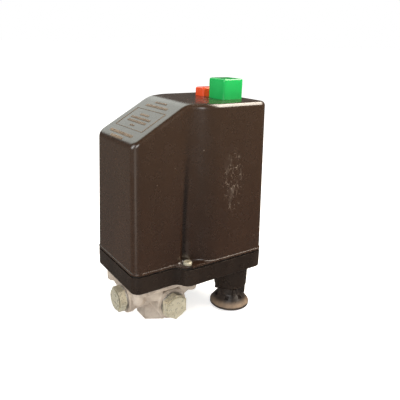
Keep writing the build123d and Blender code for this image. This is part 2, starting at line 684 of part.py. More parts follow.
with BuildPart() as diaphragm_piston:
    with BuildSketch(Plane.XY.offset(TRAY_BOTTOM)):
        Circle(PISTON_R)
    extrude(amount=PISTON_DISC)
    with BuildSketch(Plane.XY.offset(TRAY_BOTTOM)):
        Circle(PISTON_STEM_R)
    extrude(amount=LEVER_BOTTOM - SEAT_GAP - TRAY_BOTTOM)
    with BuildSketch(Plane.XY.offset(TRAY_BOTTOM)):
        Circle(PISTON_PIN_R)
    extrude(amount=SEAT_TOP - TRAY_BOTTOM)

with BuildPart() as spring_seat:
    with BuildSketch(Plane.XY.offset(LEVER_TOP + SEAT_GAP)):
        Circle(SEAT_PAD_R)
    extrude(amount=SEAT_PAD)
    with BuildSketch(Plane.XY.offset(LEVER_TOP + SEAT_GAP + SEAT_PAD)):
        Circle(SEAT_R)
    extrude(amount=SEAT_SHEET)
    with BuildSketch(Plane.XY.offset(SEAT_TOP)):
        Circle(SEAT_BOSS_R)
    extrude(amount=SEAT_BOSS)
    with BuildSketch(Plane.XY.offset(LEVER_TOP)):
        Circle(PISTON_PIN_R)
    extrude(amount=SEAT_TOP - LEVER_TOP, mode=Mode.SUBTRACT)

with BuildPart() as frame_bracket:
    # floor plate clamped by the flange screws
    with BuildSketch(Plane.XY.offset(FRAME_BOTTOM)):
        with Locations((0, (FRAME_FRONT_Y + FRAME_REAR_Y) / 2)):
            RectangleRounded(2 * FRAME_HALF, FRAME_REAR_Y - FRAME_FRONT_Y, LUG_R)
        Circle(PISTON_STEM_R + RUNNING_GAP, mode=Mode.SUBTRACT)
        with Locations(*mirrored(LUG_X, LUG_FRONT_Y), *mirrored(LUG_X, LUG_REAR_Y)):
            Circle(FLANGE_SCREW_R + CLEARANCE, mode=Mode.SUBTRACT)
        with Locations((EARTH_SCREW_X, EARTH_SCREW_Y)):
            Circle(SCREW_R, mode=Mode.SUBTRACT)
    extrude(amount=FRAME_SHEET)
    # two cheeks with a low front for the lever pivot and a window beside the springs
    for cheek_x in (CHEEK_INNER, -CHEEK_INNER - CHEEK_SHEET):
        with BuildSketch(Plane.YZ.offset(cheek_x)):
            with BuildLine():
                Polyline(
                    (LEVER_PIVOT_Y - 2 * LEVER_EAR_WIDTH, FRAME_FLOOR_TOP),
                    (LEVER_PIVOT_Y - 2 * LEVER_EAR_WIDTH, LEVER_TOP),
                    (CHEEK_TALL_Y, LEVER_TOP + 2 * LEVER_EAR_WIDTH),
                    (CHEEK_TALL_Y, FRAME_TOP),
                    (CHEEK_REAR_Y, FRAME_TOP),
                    (CHEEK_REAR_Y, FRAME_FLOOR_TOP),
                    close=True,
                )
            make_face()
            with Locations((LEVER_PIVOT_Y, LEVER_PIVOT_Z)):
                Circle(LEVER_PIN_R, mode=Mode.SUBTRACT)
            with Locations(((CHEEK_TALL_Y + CHEEK_REAR_Y) / 2, (LEVER_TOP + FRAME_TOP) / 2 - SEAT_R)):
                RectangleRounded(
                    CHEEK_REAR_Y - CHEEK_TALL_Y - 2 * WINDOW_EDGE, CHEEK_WINDOW_HEIGHT, LEVER_EAR_R,
                    mode=Mode.SUBTRACT,
                )
        extrude(amount=CHEEK_SHEET)
    # bridge in which the two adjusting screws turn
    with BuildSketch(Plane.XY.offset(FRAME_TOP)):
        with Locations((0, (CHEEK_TALL_Y + CHEEK_REAR_Y) / 2)):
            Rectangle(2 * (CHEEK_INNER + CHEEK_SHEET), CHEEK_REAR_Y - CHEEK_TALL_Y)
        Circle(RANGE_SCREW_R + RUNNING_GAP, mode=Mode.SUBTRACT)
        with Locations((0, DIFF_Y)):
            Circle(DIFF_SCREW_R + RUNNING_GAP, mode=Mode.SUBTRACT)
    extrude(amount=-FRAME_SHEET)

with BuildPart() as lever:
    with BuildSketch(Plane.XY.offset(LEVER_BOTTOM)):
        with Locations((0, (LEVER_PIVOT_Y + LEVER_TIP_Y) / 2)):
            Rectangle(2 * LEVER_HALF, LEVER_TIP_Y - LEVER_PIVOT_Y)
        Circle(LEVER_HOLE_R, mode=Mode.SUBTRACT)
    extrude(amount=LEVER_SHEET)
    for ear_x in (LEVER_HALF - LEVER_EAR_WIDTH, -LEVER_HALF):
        with BuildSketch(Plane.YZ.offset(ear_x)):
            with Locations((LEVER_PIVOT_Y, LEVER_PIVOT_Z)):
                Circle(LEVER_EAR_R)
                Circle(LEVER_PIN_R + RUNNING_GAP, mode=Mode.SUBTRACT)
        extrude(amount=LEVER_EAR_WIDTH)

with BuildPart() as lever_pin:
    with BuildSketch(Plane.YZ):
        with Locations((LEVER_PIVOT_Y, LEVER_PIVOT_Z)):
            Circle(LEVER_PIN_R)
    extrude(amount=CHEEK_INNER + CHEEK_SHEET + LEVER_PIN_R, both=True)

with BuildPart() as lever_clips:
    for clip_x in (CHEEK_INNER + CHEEK_SHEET, -CHEEK_INNER - CHEEK_SHEET - CLIP_THICKNESS):
        with BuildSketch(Plane.YZ.offset(clip_x)):
            with Locations((LEVER_PIVOT_Y, LEVER_PIVOT_Z)):
                Circle(2 * LEVER_PIN_R)
                Circle(LEVER_PIN_R, mode=Mode.SUBTRACT)
        extrude(amount=CLIP_THICKNESS)

with BuildPart() as range_spring:
    with BuildLine():
        range_foot = RANGE_NUT_TOP - RANGE_NUT_THICKNESS
        range_line = coil(RANGE_COIL_R, SEAT_TOP, range_foot, RANGE_WIRE_R, RANGE_COILS, 0)
    with BuildSketch(Plane(origin=range_line @ 0, z_dir=range_line % 0)):
        Circle(RANGE_WIRE_R)
    sweep()

with BuildPart() as range_nut:
    with BuildSketch(Plane.XY.offset(RANGE_NUT_TOP)):
        RectangleRounded(2 * (CHEEK_INNER - CLEARANCE), RANGE_NUT_DEPTH, SCREW_R)
        Circle(RANGE_SCREW_R + RUNNING_GAP, mode=Mode.SUBTRACT)
    extrude(amount=-RANGE_NUT_THICKNESS)

with BuildPart() as range_screw:
    with BuildSketch(Plane.XY.offset(RANGE_SCREW_FOOT)):
        Circle(RANGE_SCREW_R)
    extrude(amount=FRAME_TOP - RANGE_SCREW_FOOT)
    with BuildSketch(Plane.XY.offset(FRAME_TOP)):
        RegularPolygon(RANGE_HEAD_AF / 2, 6, major_radius=False)
    extrude(amount=RANGE_HEAD_HEIGHT)

with BuildPart() as differential_spring:
    with BuildLine():
        diff_foot = DIFF_NUT_TOP - DIFF_NUT_THICKNESS
        diff_line = coil(DIFF_COIL_R, LEVER_TOP, diff_foot, DIFF_WIRE_R, DIFF_COILS, DIFF_Y)
    with BuildSketch(Plane(origin=diff_line @ 0, z_dir=diff_line % 0)):
        Circle(DIFF_WIRE_R)
    sweep()

with BuildPart() as differential_nut:
    with BuildSketch(Plane.XY.offset(DIFF_NUT_TOP)):
        with Locations((0, DIFF_Y)):
            RectangleRounded(2 * (CHEEK_INNER - CLEARANCE), DIFF_NUT_DEPTH, SCREW_R / 2)
            Circle(DIFF_SCREW_R + RUNNING_GAP, mode=Mode.SUBTRACT)
    extrude(amount=-DIFF_NUT_THICKNESS)

with BuildPart() as differential_screw:
    with BuildSketch(Plane.XY.offset(DIFF_SCREW_FOOT)):
        with Locations((0, DIFF_Y)):
            Circle(DIFF_SCREW_R)
    extrude(amount=FRAME_TOP - DIFF_SCREW_FOOT)
    with BuildSketch(Plane.XY.offset(FRAME_TOP)):
        with Locations((0, DIFF_Y)):
            RegularPolygon(DIFF_HEAD_AF / 2, 6, major_radius=False)
    extrude(amount=DIFF_HEAD_HEIGHT)

with BuildPart() as earth_screw:
    with BuildSketch(Plane.XY.offset(FRAME_FLOOR_TOP)):
        with Locations((EARTH_SCREW_X, EARTH_SCREW_Y)):
            Circle(SCREW_HEAD_R)
    extrude(amount=SCREW_HEAD_HEIGHT)
    with BuildSketch(Plane.XY.offset(FRAME_FLOOR_TOP)):
        with Locations((EARTH_SCREW_X, EARTH_SCREW_Y)):
            Circle(SCREW_R)
    extrude(amount=-FRAME_SHEET)


# ================================================================ contact block
POLE_X = [(pole - (POLES - 1) / 2) * POLE_PITCH for pole in range(POLES)]
PLATE_TOP = PLATE_BOTTOM + BLOCK_PLATE

with BuildPart() as contact_block:
    # mounting plate on the tray's posts
    with BuildSketch(Plane.XY.offset(PLATE_BOTTOM)):
        with Locations((0, (BLOCK_PLATE_FRONT_Y + BLOCK_PLATE_REAR_Y) / 2)):
            RectangleRounded(2 * BLOCK_PLATE_HALF, BLOCK_PLATE_REAR_Y - BLOCK_PLATE_FRONT_Y, POST_R)
        with Locations(*mirrored(POST_X, POST_FRONT_Y), *mirrored(POST_X, POST_REAR_Y)):
            Circle(BLOCK_SCREW_R + CLEARANCE, mode=Mode.SUBTRACT)
    extrude(amount=BLOCK_PLATE)
    # arc chambers, one per pole
    with BuildSketch(Plane.XY.offset(PLATE_BOTTOM)):
        with Locations((0, (BLOCK_FRONT_Y + BLOCK_REAR_Y) / 2)):
            Rectangle(2 * BLOCK_HALF, BLOCK_REAR_Y - BLOCK_FRONT_Y)
    extrude(amount=BLOCK_TOP - PLATE_BOTTOM)
    with BuildSketch(Plane.XY.offset(SLOT_FLOOR)):
        for pole_x in POLE_X:
            with Locations((pole_x, (BLOCK_FRONT_Y + BLOCK_REAR_Y) / 2)):
                Rectangle(SLOT_WIDTH, BLOCK_REAR_Y - BLOCK_FRONT_Y)
    extrude(amount=SLOT_ROOF - SLOT_FLOOR, mode=Mode.SUBTRACT)
    # terminal ledge in front, with slots for the carrier's feet
    with BuildSketch(Plane.XY.offset(PLATE_BOTTOM)):
        with Locations((0, (LEDGE_FRONT_Y + BLOCK_FRONT_Y) / 2)):
            Rectangle(2 * LEDGE_HALF, BLOCK_FRONT_Y - LEDGE_FRONT_Y)
        with Locations(*mirrored(FOOT_X, FOOT_Y)):
            Rectangle(FOOT_WIDTH + 2 * CLEARANCE, 2 * FOOT_DEPTH, mode=Mode.SUBTRACT)
    extrude(amount=SLOT_FLOOR - PLATE_BOTTOM)
    with BuildSketch(Plane.XY.offset(SLOT_FLOOR)):
        for pole_x in POLE_X:
            with Locations((pole_x, TERMINAL_Y)):
                Circle(BLOCK_SCREW_R)
    extrude(amount=PLATE_BOTTOM - SLOT_FLOOR, mode=Mode.SUBTRACT)
    # nose that holds the carrier spring down
    with BuildSketch(Plane.XY.offset(NOSE_BOTTOM)):
        with Locations((0, (BAR_FRONT_Y - FOOT_DEPTH + BLOCK_FRONT_Y) / 2)):
            Rectangle(2 * NOSE_HALF, BLOCK_FRONT_Y - BAR_FRONT_Y + FOOT_DEPTH)
    extrude(amount=BLOCK_TOP - NOSE_BOTTOM)

with BuildPart() as block_screws:
    with BuildSketch(Plane.XY.offset(PLATE_TOP)):
        with Locations(*mirrored(POST_X, POST_FRONT_Y), *mirrored(POST_X, POST_REAR_Y)):
            Circle(2 * BLOCK_SCREW_R)
    extrude(amount=BLOCK_SCREW_R)
    with BuildSketch(Plane.XY.offset(PLATE_TOP)):
        with Locations(*mirrored(POST_X, POST_FRONT_Y), *mirrored(POST_X, POST_REAR_Y)):
            Circle(BLOCK_SCREW_R)
    extrude(amount=-4 * BLOCK_PLATE)

with BuildPart() as contact_carrier:
    with BuildSketch(Plane.XY.offset(FINGER_BOTTOM)):
        with Locations((0, (BAR_FRONT_Y + BAR_REAR_Y) / 2)):
            Rectangle(2 * BAR_HALF, BAR_REAR_Y - BAR_FRONT_Y)
        for pole_x in POLE_X:
            with Locations((pole_x, (BAR_REAR_Y + FINGER_REAR_Y) / 2)):
                Rectangle(FINGER_WIDTH, FINGER_REAR_Y - BAR_REAR_Y)
    extrude(amount=FINGER_HEIGHT)
    # feet that stand on the lever
    with BuildSketch(Plane.XY.offset(FINGER_BOTTOM)):
        with Locations(*mirrored(FOOT_X, FOOT_Y)):
            Rectangle(FOOT_WIDTH, FOOT_DEPTH)
    extrude(amount=LEVER_TOP + FOOT_GAP - FINGER_BOTTOM)
    # headed guides on which the contact bridges ride
    with BuildSketch(Plane.XY.offset(FINGER_BOTTOM)):
        for pole_x in POLE_X:
            with Locations((pole_x, CONTACT_Y)):
                Circle(GUIDE_R)
    extrude(amount=SLOT_FLOOR + FOOT_DEPTH - FINGER_BOTTOM)
    with BuildSketch(Plane.XY.offset(SLOT_FLOOR + FOOT_DEPTH)):
        for pole_x in POLE_X:
            with Locations((pole_x, CONTACT_Y)):
                Circle(GUIDE_HEAD_R)
    extrude(amount=FOOT_DEPTH)

with BuildPart() as contact_bridges:
    with BuildSketch(Plane.XY.offset(BRIDGE_BOTTOM)):
        for pole_x in POLE_X:
            with Locations((pole_x, CONTACT_Y)):
                Rectangle(BRIDGE_WIDTH, BRIDGE_LENGTH)
                Circle(GUIDE_R + RUNNING_GAP, mode=Mode.SUBTRACT)
    extrude(amount=BRIDGE_THICKNESS)
    with BuildSketch(Plane.XY.offset(BRIDGE_BOTTOM)):
        for pole_x in POLE_X:
            with Locations((pole_x, CONTACT_Y - CONTACT_SPREAD), (pole_x, CONTACT_Y + CONTACT_SPREAD)):
                Circle(CONTACT_R)
    extrude(amount=TIP_TOP + CONTACT_GAP - BRIDGE_BOTTOM)

with BuildPart() as contact_springs:
    for pole_x in POLE_X:
        with BuildSketch(Plane.XY.offset(BRIDGE_BOTTOM + BRIDGE_THICKNESS)):
            with Locations((pole_x, CONTACT_Y)):
                Circle(BRIDGE_WIDTH / 2 - CONTACT_GAP)
                Circle(BRIDGE_WIDTH / 2 - 2 * CARRIER_WIRE_R, mode=Mode.SUBTRACT)
        extrude(amount=FINGER_BOTTOM - BRIDGE_BOTTOM - BRIDGE_THICKNESS)

with BuildPart() as carrier_spring:
    with BuildLine():
        carrier_line = coil(
            CARRIER_COIL_R, FINGER_BOTTOM + FINGER_HEIGHT, NOSE_BOTTOM, CARRIER_WIRE_R, CARRIER_COILS,
            (BAR_FRONT_Y + BAR_REAR_Y) / 2,
        )
    with BuildSketch(Plane(origin=carrier_line @ 0, z_dir=carrier_line % 0)):
        Circle(CARRIER_WIRE_R)
    sweep()

with BuildPart() as fixed_contacts:
    # front strips lead to the terminal screws, rear strips rise to the overload relay
    for pole_x in POLE_X:
        front_start = TERMINAL_Y - STRIP_WIDTH / 2 + FOOT_DEPTH / 2
        front_end = CONTACT_Y - CONTACT_SPREAD + CONTACT_R
        rear_start = CONTACT_Y + CONTACT_SPREAD - CONTACT_R
        rear_end = BLOCK_REAR_Y + STRIP_THICKNESS
        with BuildSketch(Plane.XY.offset(SLOT_FLOOR)):
            with Locations((pole_x, (front_start + front_end) / 2)):
                Rectangle(STRIP_WIDTH, front_end - front_start)
            with Locations((pole_x, TERMINAL_Y)):
                Circle(BLOCK_SCREW_R, mode=Mode.SUBTRACT)
            with Locations((pole_x, (rear_start + rear_end) / 2)):
                Rectangle(STRIP_WIDTH, rear_end - rear_start)
        extrude(amount=STRIP_THICKNESS)
        with BuildSketch(Plane.XY.offset(SLOT_FLOOR)):
            with Locations((pole_x, CONTACT_Y - CONTACT_SPREAD), (pole_x, CONTACT_Y + CONTACT_SPREAD)):
                Circle(CONTACT_R)
        extrude(amount=TIP_TOP - SLOT_FLOOR)
        with BuildSketch(Plane.XY.offset(SLOT_FLOOR)):
            with Locations((pole_x, rear_end - STRIP_THICKNESS / 2)):
                Rectangle(STRIP_WIDTH, STRIP_THICKNESS)
        extrude(amount=BLOCK_TOP + STRIP_WIDTH - SLOT_FLOOR)

with BuildPart() as terminal_screws:
    with BuildSketch(Plane.XY.offset(SLOT_FLOOR + STRIP_THICKNESS)):
        for pole_x in POLE_X:
            with Locations((pole_x, TERMINAL_Y)):
                Circle(2 * BLOCK_SCREW_R)
                Rectangle(4 * BLOCK_SCREW_R, BLOCK_SCREW_R / 2, mode=Mode.SUBTRACT)
    extrude(amount=BLOCK_SCREW_R)
    with BuildSketch(Plane.XY.offset(SLOT_FLOOR + STRIP_THICKNESS)):
        for pole_x in POLE_X:
            with Locations((pole_x, TERMINAL_Y)):
                Circle(BLOCK_SCREW_R)
    extrude(amount=-2 * BLOCK_PLATE + BLOCK_SCREW_R)

with BuildPart() as overload_relay:
    with BuildSketch(Plane.XY.offset(BLOCK_TOP)):
        with Locations((0, (RELAY_FRONT_Y + BLOCK_REAR_Y) / 2)):
            RectangleRounded(2 * BLOCK_HALF, BLOCK_REAR_Y - RELAY_FRONT_Y, BLOCK_SCREW_R)
    extrude(amount=RELAY_TOP - BLOCK_TOP)
    # hole for the dial's spindle
    with BuildSketch(Plane.XZ.offset(-RELAY_FRONT_Y)):
        with Locations((0, DIAL_Z)):
            Circle(DIAL_SPINDLE_R + RUNNING_GAP)
    extrude(amount=-DIAL_SPINDLE - DIAL_HEIGHT / 2, mode=Mode.SUBTRACT)

with BuildPart() as current_dial:
    with BuildSketch(Plane.XZ.offset(-RELAY_FRONT_Y)):
        with Locations((0, DIAL_Z)):
            Circle(DIAL_R)
    extrude(amount=DIAL_HEIGHT)
    chamfer(current_dial.edges().group_by(Axis.Y)[0], length=CLIP_THICKNESS)
    with BuildSketch(Plane.XZ.offset(DIAL_HEIGHT - RELAY_FRONT_Y)):
        with Locations((0, DIAL_Z)):
            Rectangle(CLIP_THICKNESS, DIAL_SLOT)
    extrude(amount=-CLIP_THICKNESS, mode=Mode.SUBTRACT)
    with BuildSketch(Plane.XZ.offset(-RELAY_FRONT_Y)):
        with Locations((0, DIAL_Z)):
            Circle(DIAL_SPINDLE_R)
    extrude(amount=-DIAL_SPINDLE)


# ================================================================ cable entries
with BuildPart() as gland_body:
    with BuildSketch(Plane.XZ.offset(-GLAND_Y)):
        with BuildLine():
            Polyline(
                (GLAND_X + GLAND_SOCKET_R, GLAND_BARREL_BOTTOM),
                (GLAND_X + GLAND_BARREL_LOW_R - GLAND_BARREL_EDGE, GLAND_BARREL_BOTTOM),
                (GLAND_X + GLAND_BARREL_LOW_R, GLAND_BARREL_BOTTOM + GLAND_BARREL_EDGE),
                (GLAND_X + GLAND_BARREL_R, GLAND_BARREL_TOP),
                (GLAND_X + GLAND_THREAD_R, GLAND_BARREL_TOP),
                (GLAND_X + GLAND_THREAD_R, GLAND_THREAD_TOP),
                (GLAND_X + GLAND_BORE_R, GLAND_THREAD_TOP),
                (GLAND_X + GLAND_BORE_R, GLAND_SOCKET_TOP),
                (GLAND_X + GLAND_SOCKET_R, GLAND_SOCKET_TOP),
                close=True,
            )
        make_face()
    revolve(axis=GLAND_AXIS)

with BuildPart() as gland_seal:
    with BuildSketch(Plane.XY.offset(SEAL_BOTTOM)):
        with Locations((GLAND_X, GLAND_Y)):
            Circle(GLAND_SOCKET_R)
            Circle(SEAL_BORE_R, mode=Mode.SUBTRACT)
    extrude(amount=GLAND_SOCKET_TOP - SEAL_BOTTOM)

with BuildPart() as entry_washers:
    with BuildSketch(Plane.XY.offset(GLAND_BARREL_TOP)):
        with Locations(*mirrored(GLAND_X, GLAND_Y)):
            Circle(ENTRY_WASHER_R)
            Circle(GLAND_THREAD_R, mode=Mode.SUBTRACT)
    extrude(amount=TRAY_BOTTOM - GLAND_BARREL_TOP)

with BuildPart() as entry_locknuts:
    with BuildSketch(Plane.XY.offset(FRAME_BOTTOM)):
        with Locations(*mirrored(GLAND_X, GLAND_Y)):
            RegularPolygon(LOCKNUT_AF / 2, 6, major_radius=False, rotation=30)
            Circle(GLAND_THREAD_R + RUNNING_GAP, mode=Mode.SUBTRACT)
    extrude(amount=LOCKNUT_HEIGHT)

# Closed plug in the cable entry that isn't used.
with BuildPart() as blanking_plug:
    with BuildSketch(Plane.XY.offset(GLAND_BARREL_TOP)):
        with Locations((-GLAND_X, GLAND_Y)):
            Circle(BLANK_HEAD_R)
    extrude(amount=-BLANK_HEAD_HEIGHT)
    chamfer(blanking_plug.edges().group_by(Axis.Z)[0], length=BLANK_HEAD_HEIGHT / 3)
    with BuildSketch(Plane.XY.offset(GLAND_BARREL_TOP)):
        with Locations((-GLAND_X, GLAND_Y)):
            Circle(GLAND_THREAD_R)
    extrude(amount=GLAND_THREAD_TOP - GLAND_BARREL_TOP)
    with BuildSketch(Plane.XY.offset(GLAND_THREAD_TOP)):
        with Locations((-GLAND_X, GLAND_Y)):
            Circle(GLAND_BORE_R)
    extrude(amount=GLAND_BARREL_TOP - GLAND_THREAD_TOP, mode=Mode.SUBTRACT)

with BuildPart() as gland_nut:
    with BuildSketch(Plane.XZ.offset(-GLAND_Y)):
        with BuildLine():
            Polyline(
                (GLAND_X + TRUMPET_BORE_R, SEAL_BOTTOM),
                (GLAND_X + TRUMPET_BORE_R, TRUMPET_NECK_BOTTOM),
                (GLAND_X + TRUMPET_RIM_R - TRUMPET_WALL, TRUMPET_BOTTOM),
                (GLAND_X + TRUMPET_RIM_R, TRUMPET_BOTTOM),
                (GLAND_X + TRUMPET_RIM_R, TRUMPET_RIM_TOP),
                (GLAND_X + TRUMPET_NECK_R, TRUMPET_NECK_BOTTOM),
                (GLAND_X + TRUMPET_NECK_R, GLAND_BARREL_BOTTOM),
                (GLAND_X + GLAND_SOCKET_R - RUNNING_GAP, GLAND_BARREL_BOTTOM),
                (GLAND_X + GLAND_SOCKET_R - RUNNING_GAP, SEAL_BOTTOM),
                close=True,
            )
        make_face()
    revolve(axis=GLAND_AXIS)
    # grip ribs on the neck and blind pockets in the flare between them
    trumpet_plane = Plane(origin=(GLAND_X, GLAND_Y, TRUMPET_NECK_BOTTOM))
    with BuildSketch(trumpet_plane):
        rib_angle = POCKET_ANGLE + 180 / TRUMPET_ARMS
        with PolarLocations((TRUMPET_NECK_R + TRUMPET_RIB_R) / 2, TRUMPET_ARMS, start_angle=rib_angle):
            Rectangle(TRUMPET_RIB_R - TRUMPET_NECK_R + TRUMPET_WALL / 2, TRUMPET_RIB_WIDTH)
    extrude(amount=GLAND_BARREL_BOTTOM - TRUMPET_NECK_BOTTOM)
    with BuildSketch(trumpet_plane.offset(POCKET_BOTTOM - TRUMPET_NECK_BOTTOM)):
        with PolarLocations((POCKET_FLOOR_R + TRUMPET_RIM_R) / 2, TRUMPET_ARMS, start_angle=POCKET_ANGLE):
            Rectangle(TRUMPET_RIM_R - POCKET_FLOOR_R, POCKET_WIDTH)
    extrude(amount=POCKET_TOP - POCKET_BOTTOM, mode=Mode.SUBTRACT)


# ================================================================ files, one per node
os.makedirs("parts", exist_ok=True)
pieces = {
    "cover": cover,
    "cover_screws": cover_screws,
    "cover_gasket": cover_gasket,
    "base_tray": base_tray,
    "green_button": green_button,
    "red_button": red_button,
    "button_rocker": button_rocker,
    "rocker_pin": rocker_pin,
    "button_housing": button_housing,
    "button_spring": button_spring,
    "manifold": manifold,
    "port_plugs": port_plugs,
    "plug_washers": plug_washers,
    "flange_screws": flange_screws,
    "diaphragm": diaphragm,
    "diaphragm_piston": diaphragm_piston,
    "spring_seat": spring_seat,
    "frame_bracket": frame_bracket,
    "lever": lever,
    "lever_pin": lever_pin,
    "lever_clips": lever_clips,
    "range_spring": range_spring,
    "range_nut": range_nut,
    "range_screw": range_screw,
    "differential_spring": differential_spring,
    "differential_nut": differential_nut,
    "differential_screw": differential_screw,
    "earth_screw": earth_screw,
    "contact_block": contact_block,
    "block_screws": block_screws,
    "contact_carrier": contact_carrier,
    "contact_bridges": contact_bridges,
    "contact_springs": contact_springs,
    "carrier_spring": carrier_spring,
    "fixed_contacts": fixed_contacts,
    "terminal_screws": terminal_screws,
    "overload_relay": overload_relay,
    "current_dial": current_dial,
    "gland_body": gland_body,
    "gland_seal": gland_seal,
    "gland_nut": gland_nut,
    "entry_washers": entry_washers,
    "entry_locknuts": entry_locknuts,
    "blanking_plug": blanking_plug,
}
for name, piece in pieces.items():
    piece.part.label = name
    export_step(piece.part, f"parts/{name}.step")
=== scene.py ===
"""Looks of the pressure switch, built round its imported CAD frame.

Lengths are in metres, and MM is one millimetre.
"""
import json
from math import cos, pi, radians, sin, tan

import bmesh
import bpy
import numpy as np
from mathutils import Matrix, Vector


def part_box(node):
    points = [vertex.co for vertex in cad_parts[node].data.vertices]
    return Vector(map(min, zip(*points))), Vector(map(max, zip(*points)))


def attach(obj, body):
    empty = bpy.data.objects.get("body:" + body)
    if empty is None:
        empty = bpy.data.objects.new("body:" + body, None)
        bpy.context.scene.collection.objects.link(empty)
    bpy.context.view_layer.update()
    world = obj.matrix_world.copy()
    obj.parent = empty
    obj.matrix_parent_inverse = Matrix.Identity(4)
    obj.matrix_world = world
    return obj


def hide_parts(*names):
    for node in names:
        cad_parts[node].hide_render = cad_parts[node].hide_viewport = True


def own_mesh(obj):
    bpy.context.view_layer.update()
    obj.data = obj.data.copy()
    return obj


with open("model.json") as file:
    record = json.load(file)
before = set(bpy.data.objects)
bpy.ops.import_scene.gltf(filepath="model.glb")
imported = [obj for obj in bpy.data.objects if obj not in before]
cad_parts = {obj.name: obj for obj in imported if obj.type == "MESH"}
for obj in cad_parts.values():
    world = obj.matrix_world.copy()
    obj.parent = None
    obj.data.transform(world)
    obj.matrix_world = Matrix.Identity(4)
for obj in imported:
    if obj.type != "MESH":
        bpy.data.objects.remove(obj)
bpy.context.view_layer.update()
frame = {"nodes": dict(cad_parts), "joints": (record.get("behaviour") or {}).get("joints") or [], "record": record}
nodes = frame["nodes"]
MM = 0.001

# ---------------------------------------------------------------- sizes shared by the enclosure's pieces
LIP_LOW, LIP_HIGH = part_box("cover")
LIP_BOTTOM = LIP_LOW.z
SCREW_HEAD = 2.4 * MM
LIP_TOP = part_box("cover_screws")[1].z - SCREW_HEAD
ROOF_TOP = LIP_HIGH.z
FRONT_Y, REAR_Y = LIP_LOW.y, LIP_HIGH.y
REAR_HALF = LIP_HIGH.x
SIDE_STEP = 9.0 * MM
FRONT_HALF = REAR_HALF - SIDE_STEP
FRONT_CORNER, REAR_CORNER = 7.0 * MM, 7.5 * MM
LIP_BEND = (-4.0 * MM, 10.0 * MM)
WALL_BEND = (6.0 * MM, 34.0 * MM)
LIP_PROUD = 0.6 * MM
LIP_EDGE = 0.75 * MM
WALL = 2.6 * MM
FRONT_DRAFT, SIDE_DRAFT, REAR_DRAFT = tan(radians(1.28)), tan(radians(1.75)), tan(radians(0.74))
SLOPE_DROP = 28.3 * MM
SLOPE_FOOT_Z = ROOF_TOP - SLOPE_DROP
SLOPE_END_Y = 11.6 * MM
BREAK_RADIUS = 22.0 * MM
TOP_EDGE = 3.6 * MM
PITCH = np.arctan2(ROOF_TOP - SLOPE_FOOT_Z, SLOPE_END_Y - FRONT_Y)
SCREW_Y = (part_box("cover_screws")[0].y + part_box("cover_screws")[1].y) / 2

# points along one half of an outline
ACROSS, ROUND, ALONG = 26, 11, 150


# ---------------------------------------------------------------- mesh helpers
def make_object(name, points, faces):
    """A mesh object with outward normals."""
    mesh = bpy.data.meshes.new(name)
    mesh.from_pydata([tuple(p) for p in points], [], faces)
    obj = bpy.data.objects.new(name, mesh)
    bpy.context.scene.collection.objects.link(obj)
    shell = bmesh.new()
    shell.from_mesh(mesh)
    bmesh.ops.recalc_face_normals(shell, faces=shell.faces)
    shell.to_mesh(mesh)
    shell.free()
    return obj


def bm_object(name, shell):
    """An object from a bmesh, with outward normals."""
    bmesh.ops.recalc_face_normals(shell, faces=shell.faces)
    mesh = bpy.data.meshes.new(name)
    shell.to_mesh(mesh)
    shell.free()
    obj = bpy.data.objects.new(name, mesh)
    bpy.context.scene.collection.objects.link(obj)
    return obj


def smooth(obj, angle):
    """Smooth shading with edges sharper than angle kept."""
    obj.data.shade_smooth()
    obj.data.set_sharp_from_angle(angle=radians(angle))
    return obj


def apply_modifiers(obj):
    """Turns the modifiers into mesh."""
    depsgraph = bpy.context.evaluated_depsgraph_get()
    mesh = bpy.data.meshes.new_from_object(obj.evaluated_get(depsgraph))
    obj.modifiers.clear()
    obj.data = mesh
    return obj


def combine(obj, tool, operation):
    """Boolean of obj with tool, which is removed afterwards."""
    modifier = obj.modifiers.new(operation, "BOOLEAN")
    modifier.operation = operation
    modifier.object = tool
    modifier.solver = "EXACT"
    apply_modifiers(obj)
    bpy.data.objects.remove(tool)
    return obj


def rounded_box(name, low, high, radius):
    """A box between two corners with all edges rounded."""
    low, high = Vector(low), Vector(high)
    shell = bmesh.new()
    bmesh.ops.create_cube(shell, size=1.0)
    size = high - low
    for vertex in shell.verts:
        vertex.co = Vector([(low[i] + high[i]) / 2 + vertex.co[i] * size[i] for i in range(3)])
    bmesh.ops.bevel(
        shell, geom=list(shell.edges), offset=radius, segments=4, profile=0.5, affect="EDGES",
        clamp_overlap=True,
    )
    return bm_object(name, shell)


def voxel(obj, size, passes):
    """Rebuilds a closed mesh in even cells and relaxes it, which rounds its edges as a mould does."""
    remesh = obj.modifiers.new("remesh", "REMESH")
    remesh.mode = "VOXEL"
    remesh.voxel_size = size
    relax = obj.modifiers.new("relax", "SMOOTH")
    relax.factor = 0.5
    relax.iterations = passes
    apply_modifiers(obj)
    obj.data.shade_smooth()
    return obj


# ---------------------------------------------------------------- enclosure geometry
def bend(y, start, end):
    """Share of the step from narrow to wide at y: a hollow arc, then a bulging one."""
    t = np.clip((y - start) / (end - start), 0, 1)
    return np.where(t < 0.5, 2 * t * t, 1 - 2 * (1 - t) ** 2)


